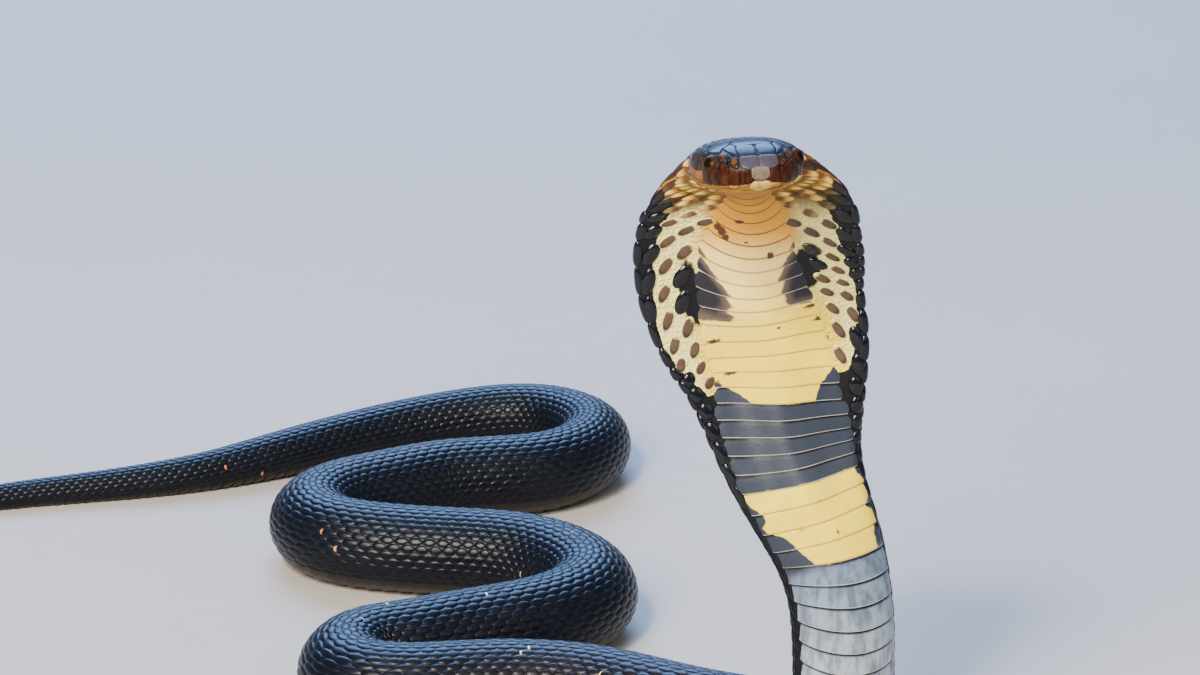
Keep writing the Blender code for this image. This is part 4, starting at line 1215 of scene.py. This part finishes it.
def layScales(start, end):
    # roots of all scales of a stretch, in staggered rows
    stops = [scaleShape["start"]]
    while stops[-1] < bodyLength - 1:
        stops.append(stops[-1] + readTable(scaleRows, stops[-1])[0] / 2)
    roots = []
    for step, along in enumerate(stops):
        if not start <= along < end:
            continue
        spacing = readTable(scaleRows, along)[1]
        onNeck = along >= scaleShape["neckStart"]
        edge = scuteRound(along) + 0.3 * spacing if onNeck else halfGirth(along) - 0.5 * spacing
        most = int(edge / spacing)
        roots += [(along, row * spacing) for row in range(-most, most + 1) if (row + step) % 2 == 0]
    roots = np.array(roots)
    down = downTurnOf(angleAt(roots[:, 0], roots[:, 1] + 1e-6))
    edge = np.interp(down, *scaleShape["headEdge"].T)
    roots = roots[roots[:, 0] > edge]
    low, high = scaleShape["frontStretch"]
    margin, pastRim = scaleShape["frontMargins"]
    front = (roots[:, 0] > low - margin) & (roots[:, 0] < high + margin)
    front &= np.abs(roots[:, 1]) > rimRound(roots[:, 0]) + pastRim
    return np.concatenate([roots[~front], layHoodFront(start, end)])


def turnOfScales(along, roundMm):
    # how far a scale's rear end leans towards the hood's rim, in radians, right side positive
    rim = rimRound(along)
    away = np.abs(roundMm)
    full = np.radians(np.interp(along, *scaleShape["hoodTurn"].T))
    inFront, atSpine, atRim = scaleShape["turnReach"]
    front = -smoothStep(0, inFront, away - rim)
    behind = scaleShape["turnBehind"] * smoothStep(0, atSpine, away) * smoothStep(0, atRim, rim - away)
    return full * np.where(away > rim, front, behind) * np.sign(roundMm)


def buildScales(name, start, end, size, look, folds):
    roots = layScales(start, end)
    along, roundMm = roots.T
    count = len(roots)
    pitch, spacing, longShare, wideShare = readTable(scaleRows, along).T
    seed = random.random(count)
    sizeJitter = 1 + scaleShape["sizeJitter"] * (random.random((2, count)) - 0.5)
    begins, ends = scaleShape["onHood"]
    onHood = smoothStep(*begins, along) * (1 - smoothStep(*ends, along))
    rim = rimRound(along)
    rimAway = np.abs(np.abs(roundMm) - rim)
    marks = paintMasks(along, angleAt(along, roundMm + 1e-6))
    beads = onHood * (1 - smoothStep(*scaleShape["beadsFrom"], rimAway)) * (marks["paleSide"] < 0)
    large = onHood * smoothStep(*scaleShape["largeFrom"], marks["sideSpot"])
    beadWider, beadLonger = scaleShape["beads"]
    largeWider, largeLonger = scaleShape["large"]
    halfLong = pitch * longShare * sizeJitter[0] * (1 + beadLonger * beads + largeLonger * large)
    halfWide = spacing * wideShare * sizeJitter[1] * (1 + beadWider * beads + largeWider * large)
    turn = turnOfScales(along, roundMm) + scaleShape["turnJitter"] * (random.random(count) - 0.5)
    ring, around = discGrid(size)
    ring = 1 - (1 - ring)**scaleShape["ringPower"]
    power = np.where(np.cos(around) < 0, scaleShape["outline"][0], scaleShape["outline"][1])
    power = power[None] * (1 - onHood[:, None]) + 2.0 * onHood[:, None]
    radius = (np.abs(np.cos(around))**power + np.abs(np.sin(around))**power)**(-1 / power)
    lengthwise = ring * radius * np.cos(around)
    sideways = ring * radius * np.sin(around)
    x, y = lengthwise * halfLong[:, None], sideways * halfWide[:, None]
    cos, sin = np.cos(turn)[:, None], np.sin(turn)[:, None]
    ahead = x * cos - y * sin
    beside = x * sin + y * cos
    pointAlong = np.clip(along[:, None] + ahead, 0.5, bodyLength)
    facingFront = smoothStep(rim - 10, rim + 10, np.abs(roundMm))[:, None] * np.sign(roundMm)[:, None]
    growth = halfGirth(pointAlong) - halfGirth(along)[:, None]
    pointRound = roundMm[:, None] + beside + facingFront * growth
    limit = halfGirth(pointAlong)
    angle = angleAt(pointAlong, np.clip(pointRound, -limit, limit))
    thick = 1 + scaleShape["hoodThicker"] * onHood[:, None]
    thick = thick + scaleShape["thicker"] * np.maximum(beads, large)[:, None]
    dome = np.sqrt(1 - ring[None]**scaleShape["domePower"])
    lift = (-scaleShape["sunk"] + scaleShape["rise"] * thick * dome
            + scaleShape["tilt"] * lengthwise * (1 - 0.5 * onHood[:, None]))
    lift = lift * np.minimum(1, spacing / scaleShape["fullSpacing"])[:, None]
    points = raisedPoint(pointAlong, angle, lift)
    marks = {key: np.repeat(values[:, None], size * size, axis=1) for key, values in marks.items()}
    marks["monocle"] = monocleInside(pointAlong, angle)
    marks["lengthwise"] = lengthwise
    marks["ring"] = np.broadcast_to(ring, lengthwise.shape)
    marks["seed"] = np.repeat(seed[:, None], size * size, axis=1)
    reach = (start - layout["spare"], end + layout["spare"], folds)
    girthRound = 2 * halfGirth(along)
    rootUv = foldedUv(along, 0.5 + roundMm / girthRound, reach)[:, None]
    stretch = (reach[1] - reach[0]) / folds
    ends, sides = layout["margins"]
    shift = np.stack([ahead / stretch * (1 - 2 * ends),
                      beside / girthRound[:, None] * (1 - 2 * sides) / folds], -1)
    uv = rootUv + layout["scales"] * shift
    faces = gridFaces(count, size, size)
    addMesh(name, points.reshape(-1, 3), [faces], marks, uv.reshape(-1, 2), look)


buildScales("napeAndHoodScales", 26.0, 205.0, 9, hoodScaleLook, 2)
buildScales("neckScales", 205.0, 440.0, 7, scaleLook, 2)
buildScales("bodyScalesFront", 440.0, 800.0, 7, scaleLook, 3)
buildScales("bodyScalesRear", 800.0, 1160.0, 7, scaleLook, 3)
buildScales("tailScales", 1160.0, bodyLength - 2, 7, scaleLook, 3)


scute = {
    "columns": 25,
    "round": 0.05,                   # how much shorter a scute is at its front and rear edge
    "rows": [0, 0.08, 0.33, 0.66, 0.92, 0.975, 1.0, 1.02, 1.015],     # share of the length
    "lifts": [-0.32, -0.02, 0.16, 0.34, 0.50, 0.53, 0.38, 0.02, -0.25],   # mm, at the same rows
    "tuckedFront": 0.6,              # mm that the front row runs under the scute before it
    "fullReach": 1.015, "endJitter": 0.05, "meanEnd": 0.99,   # shares of the reach
    "jitterEnds": 200.0,             # mm from the snout
    "endDrop": 0.35,                 # mm that the ends are sunk
}


def buildScutes(name, start, end, folds):
    edges = scuteEdges(start, end)
    fronts, rears = edges[:-1, None, None], edges[1:, None, None]
    across = np.linspace(-1, 1, scute["columns"])[None, None]
    length = rears - fronts
    rows, lifts = (np.array(scute[key])[None, :, None] for key in ("rows", "lifts"))
    place = fronts - scute["tuckedFront"] * (rows == 0) + rows * length
    sizes = readTable(scuteSizes, place)
    reach = sizes[..., 1]
    bow = sizes[..., 2]
    ends = scute["meanEnd"] + scute["endJitter"] * random.random((len(fronts), 1, 2))
    ends = ends - scute["round"] * (2 * np.clip(rows, 0, 1) - 1)**2
    ends = np.where(across < 0, ends[..., :1], ends[..., 1:])
    outward = smoothStep(0.5, 1.0, np.abs(across)) * (fronts < scute["jitterEnds"])
    ends = scute["fullReach"] + (ends - scute["fullReach"]) * outward
    share = across * reach * ends
    halfWidth = readTable(girth, place)[..., 0]
    along = place - bow * across**2 + readTable(scuteLean, place)[..., 0] * across * reach * halfWidth
    cos = np.sign(share) * np.clip(np.abs(share), 0, 1)**(1 / headBox(along))
    angle = -np.arccos(np.clip(cos, -1, 1))
    endDrop = smoothStep(0.9, 1.0, np.abs(across))
    lift = lifts * (1 - endDrop) - scute["endDrop"] * endDrop
    along, angle, lift, place = np.broadcast_arrays(along, angle, lift, place)
    points = raisedPoint(along, angle, lift)
    marks = paintMasks(along, angle)
    marks["rear"] = np.broadcast_to((1 - np.minimum(rows, 1)) * length, along.shape)
    marks["front"] = np.broadcast_to(rows * length, along.shape)
    marks["seed"] = np.broadcast_to(random.random((len(edges) - 1, 1, 1)), along.shape)
    reachUv = (start - layout["spare"], end + layout["spare"], folds)
    turned = np.mod(0.5 + roundAt(along, angle) / (2 * halfGirth(along)) + 0.5, 1.0)
    middle = 0.5 + layout["scutes"] * (turned - 0.5)
    uv = foldedUv(fronts + length / 2 + 0 * along, middle, reachUv)
    uv[..., 0] += layout["scutes"] * (rows - 0.5) * length / ((reachUv[1] - reachUv[0]) / folds)
    count = len(edges) - 1
    faces = gridFaces(count, along.shape[1], along.shape[2])[:, ::-1]
    addMesh(name, points.reshape(-1, 3), [faces], marks, uv.reshape(-1, 2), scuteLook)


buildScutes("hoodScutes", 62.0, 330.0, 2)
buildScutes("bellyScutes", 320.0, bodyLength - 4, 6)


# Head shields: outlines as mm over the skin from the snout tip and degrees down from the crown.
# Those in pairs are for the right side. The last word is the colour.
shields = {
    "rostral": ([(2.0, -179), (2.7, -142), (3.3, -108), (3.4, -78), (3.5, -50), (4.3, -25), (3.1, 0),
                 (4.3, 25), (3.5, 50), (3.4, 78), (3.3, 108), (2.7, 142), (2.0, 179)], "rostral"),
    "frontal": ([(17.3, -16.5), (17.2, 0), (17.3, 16.5), (22.6, 20), (28.0, 13), (31.5, 0), (28.0, -13),
                 (22.6, -20)], "crown"),
    "mental": ([(2.9, 180), (3.7, 158), (5.2, 151), (7.0, 160), (7.8, 180), (7.0, -160), (5.2, -151),
                (3.7, -158)], "mental"),
}
pairedShields = {
    "internasal": ([(3.5, 3), (4.8, 24), (4.5, 40), (8.1, 46), (11.3, 25), (8.5, 1.5)], "muzzle"),
    "prefrontal": ([(8.9, 1.5), (11.8, 24), (15.5, 22), (18.6, 17), (16.8, 1.2)], "crown"),
    "preocularTop": ([(12.3, 26), (15.9, 23.5), (19.1, 19), (22.6, 22), (21.8, 35), (18.0, 34.5),
                      (14.0, 31)], "crown"),
    "brow": ([(21.0, 44), (22.4, 36.5), (23.3, 22.5), (28.5, 15), (34.0, 29), (32.8, 50), (27.0, 53),
              (23.5, 50)], "crown"),
    "parietal": ([(32.3, 2.5), (29.1, 14.5), (34.6, 29), (36.0, 40), (41.0, 38), (44.6, 20), (42.0, 2)],
                 "crown"),
    "nasalFront": ([(8.8, 50), (11.7, 29), (13.4, 34), (13.5, 45), (12.7, 56), (11.2, 61), (9.2, 59)],
                   "amber"),
    "nasalBack": ([(15.2, 53), (15.4, 42), (17.3, 37.5), (20.3, 44), (19.8, 54), (18.2, 61), (15.4, 60)],
                  "amber"),
    "preocularLow": ([(18.6, 62.5), (20.3, 55.5), (21.8, 53), (21.5, 62), (20.7, 72), (20.9, 80),
                      (18.5, 78)], "temple"),
    "postocularTop": ([(28.0, 56), (31.6, 55), (32.2, 65.5), (28.1, 65)], "temple"),
    "postocularMiddle": ([(28.2, 66.5), (32.3, 67), (32.4, 76.5), (28.2, 76)], "temple"),
    "postocularLow": ([(28.0, 77.5), (32.4, 78), (32.7, 88.5), (27.0, 88)], "temple"),
    "templeTop": ([(33.6, 52), (36.4, 41.5), (41.3, 39.5), (42.5, 55), (33.6, 56.5)], "crown"),
    "templeFront": ([(33.0, 58), (38.8, 57.5), (39.6, 71.5), (33.2, 75)], "temple"),
    "templeLow": ([(33.4, 77), (39.8, 73), (40.4, 86), (34.0, 89)], "temple"),
    "templeBack": ([(39.6, 57.5), (44.5, 56.5), (45.2, 80), (41.2, 84)], "temple"),
    "lip1": ([(4.0, 50), (3.75, 80), (3.6, 108), (3.1, 138), (5.0, 144), (8.3, 127), (7.6, 88), (8.3, 50),
              (5.0, 43)], "lip"),
    "lip2": ([(8.1, 88), (8.8, 61), (11.0, 63), (12.8, 60.5), (12.6, 90), (12.6, 119), (8.8, 125)], "lip"),
    "lip3": ([(13.2, 62), (17.7, 64), (18.1, 79), (17.5, 92), (17.6, 116.5), (13.1, 118.5), (13.1, 90)],
             "lip"),
    "lip4": ([(18.6, 80.5), (21.0, 82), (22.6, 86.5), (22.8, 115.5), (18.1, 116.3), (18.0, 92)], "lip"),
    "lip5": ([(23.2, 87.5), (26.2, 89), (28.5, 90), (28.6, 113.5), (23.4, 115.3)], "lip"),
    "lip6": ([(28.9, 90), (33.2, 90.5), (34.4, 91), (34.9, 110), (29.1, 113.2)], "cheek"),
    "lip7": ([(34.9, 91), (40.8, 88), (44.8, 86), (44.8, 95), (41.5, 101.5), (35.4, 109.5)], "cheek"),
    "lowLip1": ([(5.7, 149), (9.0, 131.5), (9.9, 139), (9.0, 157), (7.6, 160)], "chin"),
    "lowLip2": ([(9.5, 130.5), (13.4, 123.5), (14.1, 137), (10.4, 139)], "chin"),
    "lowLip3": ([(14.0, 123), (18.6, 121.5), (18.8, 136), (14.6, 137)], "chin"),
    "lowLip4": ([(19.2, 121.3), (24.6, 120.5), (24.8, 134), (19.4, 136)], "chin"),
    "lowLip5": ([(25.2, 120.3), (31.0, 118.5), (31.2, 132), (25.4, 134)], "chin"),
    "lowLip6": ([(31.6, 118.3), (37.6, 113.5), (38.0, 128), (31.8, 131.5)], "chin"),
    "chinFront": ([(8.4, 177), (9.5, 159), (10.9, 142), (17.5, 139), (19.0, 160), (17.5, 177)], "chin"),
    "chinRear": ([(18.0, 177), (19.5, 160), (18.2, 139), (27.5, 137), (29.5, 158), (26.5, 177)], "chin"),
}
shieldShape = {
    "size": 15, "samples": 160, "corner": 0.3,    # grid, points of an outline, mm of rounding
    "insets": [-0.36, -0.26, -0.02, 0.42],       # mm from the rim, at the outer rings
    "lifts": [-0.45, 0.06, 0.25, 0.31],           # mm, at the same rings
    "crownLift": 0.34,
}


def roundOutline(polygon):
    # points along a shield's outline with its corners rounded, in a flat chart of the head
    polar = np.array(polygon, float)
    turn = np.radians(polar[:, 1])
    flat = polar[:, :1] * np.stack([np.cos(turn), np.sin(turn)], 1)
    closed = np.concatenate([flat, flat[:1]])
    step = np.linalg.norm(np.diff(closed, axis=0), axis=1)
    distance = np.concatenate([[0], np.cumsum(step)])
    places = np.linspace(0, distance[-1], shieldShape["samples"], endpoint=False)
    points = np.stack([np.interp(places, distance, closed[:, i]) for i in (0, 1)], 1)
    window = max(1, int(shieldShape["corner"] / distance[-1] * shieldShape["samples"] * 2))
    for _ in range(2):
        shifts = range(-window, window + 1)
        points = sum(np.roll(points, shift, axis=0) for shift in shifts) / len(shifts)
    return points


def shieldPatch(polygon):
    # reach, turn, lift and ring of the points of one shield
    size = shieldShape["size"]
    ring, around = discGrid(size)
    outline = roundOutline(polygon)
    area = np.sum(outline[:, 0] * np.roll(outline[:, 1], -1) - outline[:, 1] * np.roll(outline[:, 0], -1))
    if area < 0:
        outline = outline[::-1]
    middle = outline.mean(axis=0)
    places = around / (2 * np.pi) * len(outline)
    wrapped = np.concatenate([outline, outline[:1]])
    rim = np.stack([np.interp(places, np.arange(len(wrapped)), wrapped[:, i]) for i in (0, 1)], 1)
    gap = rim - middle
    length = np.linalg.norm(gap, axis=1)
    rings = (size - 1) // 2
    level = np.round((1 - ring) * rings).astype(int)
    outer = len(shieldShape["insets"])
    inset = np.interp(level, range(outer), shieldShape["insets"])
    share = 1 - inset / length
    inner = np.clip((rings - level) / (rings - outer + 1), 0, 1)
    share = np.where(level >= outer, (1 - shieldShape["insets"][-1] / length) * inner, share)
    lift = np.interp(level, range(outer + 1), shieldShape["lifts"] + [shieldShape["crownLift"]])
    flat = middle + gap * share[:, None]
    reach = np.linalg.norm(flat, axis=1)
    turn = np.degrees(np.arctan2(flat[:, 1], flat[:, 0]))
    return reach, turn, lift, ring


def buildHeadShields():
    entries = [(polygon, tone) for polygon, tone in shields.values()]
    for polygon, tone in pairedShields.values():
        entries.append((polygon, tone))
        entries.append(([(reach, -turn) for reach, turn in polygon[::-1]], tone))
    patches = np.array([shieldPatch(polygon) for polygon, _ in entries])
    reach, turn, lift, ring = np.moveaxis(patches, 1, 0)
    along = alongOfReach(reach, turn)
    angle = np.radians(90 - turn)
    points = raisedPoint(along, angle, lift)
    count, size = len(entries), shieldShape["size"]
    marks = {"ring": ring, "seed": np.repeat(random.random(count)[:, None], size * size, axis=1)}
    for name in shieldTones:
        weight = np.array([1.0 if tone == name else 0.0 for _, tone in entries])
        marks[name + "Shield"] = np.repeat(weight[:, None], size * size, axis=1)
    flat = np.stack([reach * np.cos(np.radians(turn)), reach * np.sin(np.radians(turn))], -1)
    middle = flat.mean(axis=1, keepdims=True)
    uv = 0.5 + (middle + layout["shields"] * (flat - middle)) / layout["headSpan"]
    faces = gridFaces(count, size, size)
    addMesh("headShields", points.reshape(-1, 3), [faces], marks, uv.reshape(-1, 2), shieldLook)


buildHeadShields()


def buildEye(name, side, node):
    # a fine ball with its pupil facing out and a little forward
    centre = placeInHead(face["eye"][0], side * face["eye"][1], face["eye"][2])
    shape = bmesh.new()
    bmesh.ops.create_icosphere(shape, subdivisions=5, radius=face["eyeRadius"] * mm)
    points = np.array([vert.co[:] for vert in shape.verts])
    faces = np.array([[vert.index for vert in item.verts] for item in shape.faces])
    shape.free()
    along = np.array(face["eye"][0])
    ahead = np.cross(readTrace(sideTrace, along), readTrace(backTrace, along))
    outward, upward, forward = face["look"]
    look = side * outward * readTrace(sideTrace, along) + upward * readTrace(backTrace, along)
    look = look + forward * ahead
    look = look / np.linalg.norm(look)
    away = np.arccos(np.clip(points @ look / np.linalg.norm(points, axis=1), -1, 1))
    longitude = np.arctan2(points @ np.cross(look, ahead), points @ ahead)
    spread = layout["eye"] * (away / np.pi)[:, None]
    uv = 0.5 + spread * np.stack([np.cos(longitude), np.sin(longitude)], 1)
    piece = addMesh(name, points + centre, [faces], {"pupil": away}, uv, eyeLook)
    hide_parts(node)


buildEye("leftEye", -1, "eye_left")
buildEye("rightEye", 1, "eye_right")
print("cobra built")


studio = {
    "camera": (0.1382, -1.7636, 0.7275),
    "lens": 126.0,
    "tilt": 71.5,
    "floorSize": 6.0,
    "floor": (0.52, 0.455, 0.385, 1.0),
    "sky": ((0.50, 0.66, 1.0, 1.0), 0.38),
    # name, place, size in m, watts, colour
    "lights": [
        ("keyLight", (-0.8, -2.1, 1.7), 1.4, 114.0, (1.0, 0.93, 0.82)),
        ("sunLight", (-0.6, -1.9, 2.2), 0.36, 64.0, (1.0, 0.95, 0.88)),
        ("skyLight", (-0.2, 2.4, 2.3), 2.6, 240.0, (0.28, 0.50, 1.0)),
        ("topLight", (-0.05, -0.65, 2.9), 1.9, 13.0, (0.46, 0.66, 1.0)),
        ("fillLight", (1.6, -1.6, 1.6), 1.8, 12.0, (1.0, 0.94, 0.86)),
    ],
    "aim": (0.05, -0.1, 0.15),
}


def buildStudio():
    floorMesh = bpy.data.meshes.new("floor")
    half = studio["floorSize"] / 2
    floorMesh.from_pydata([(-half, -half, 0), (half, -half, 0), (half, half, 0), (-half, half, 0)], [],
                          [(0, 1, 2, 3)])
    floor = addObject("floor", floorMesh)
    material, tree, shader = newMaterial("floorLook")
    grain = fillGroup(tree, fineGrain, {
        "Scale": 60.0, "Depth": 0.3, "Colour": studio["floor"], "Variation": 0.03})
    finishMaterial(tree, shader, grain.outputs["Colour"], 0.75, grain.outputs["Height"], 0.0004)
    floorMesh.materials.append(material)
    world = bpy.data.worlds.new("softSky")
    world.use_nodes = True
    background = world.node_tree.nodes["Background"]
    background.inputs["Color"].default_value, background.inputs["Strength"].default_value = studio["sky"]
    bpy.context.scene.world = world
    aim = addObject("aim", None)
    aim.location = studio["aim"]
    for name, place, size, watts, colour in studio["lights"]:
        lamp = bpy.data.lights.new(name, "AREA")
        lamp.shape = "DISK"
        lamp.size = size
        lamp.energy = watts
        lamp.color = colour
        thing = addObject(name, lamp)
        thing.location = place
        thing.visible_camera = False
        track = thing.constraints.new("TRACK_TO")
        track.target = aim
        track.track_axis = "TRACK_NEGATIVE_Z"
        track.up_axis = "UP_Y"


def buildCamera():
    camera = bpy.data.cameras.new("camera")
    camera.lens = studio["lens"]
    camera.sensor_width = 36.0
    camera.clip_start, camera.clip_end = 0.05, 50.0
    thing = addObject("camera", camera)
    thing.location = studio["camera"]
    thing.rotation_euler = (np.radians(studio["tilt"]), 0.0, 0.0)
    bpy.context.scene.camera = thing


buildStudio()
buildCamera()
print("studio ready")
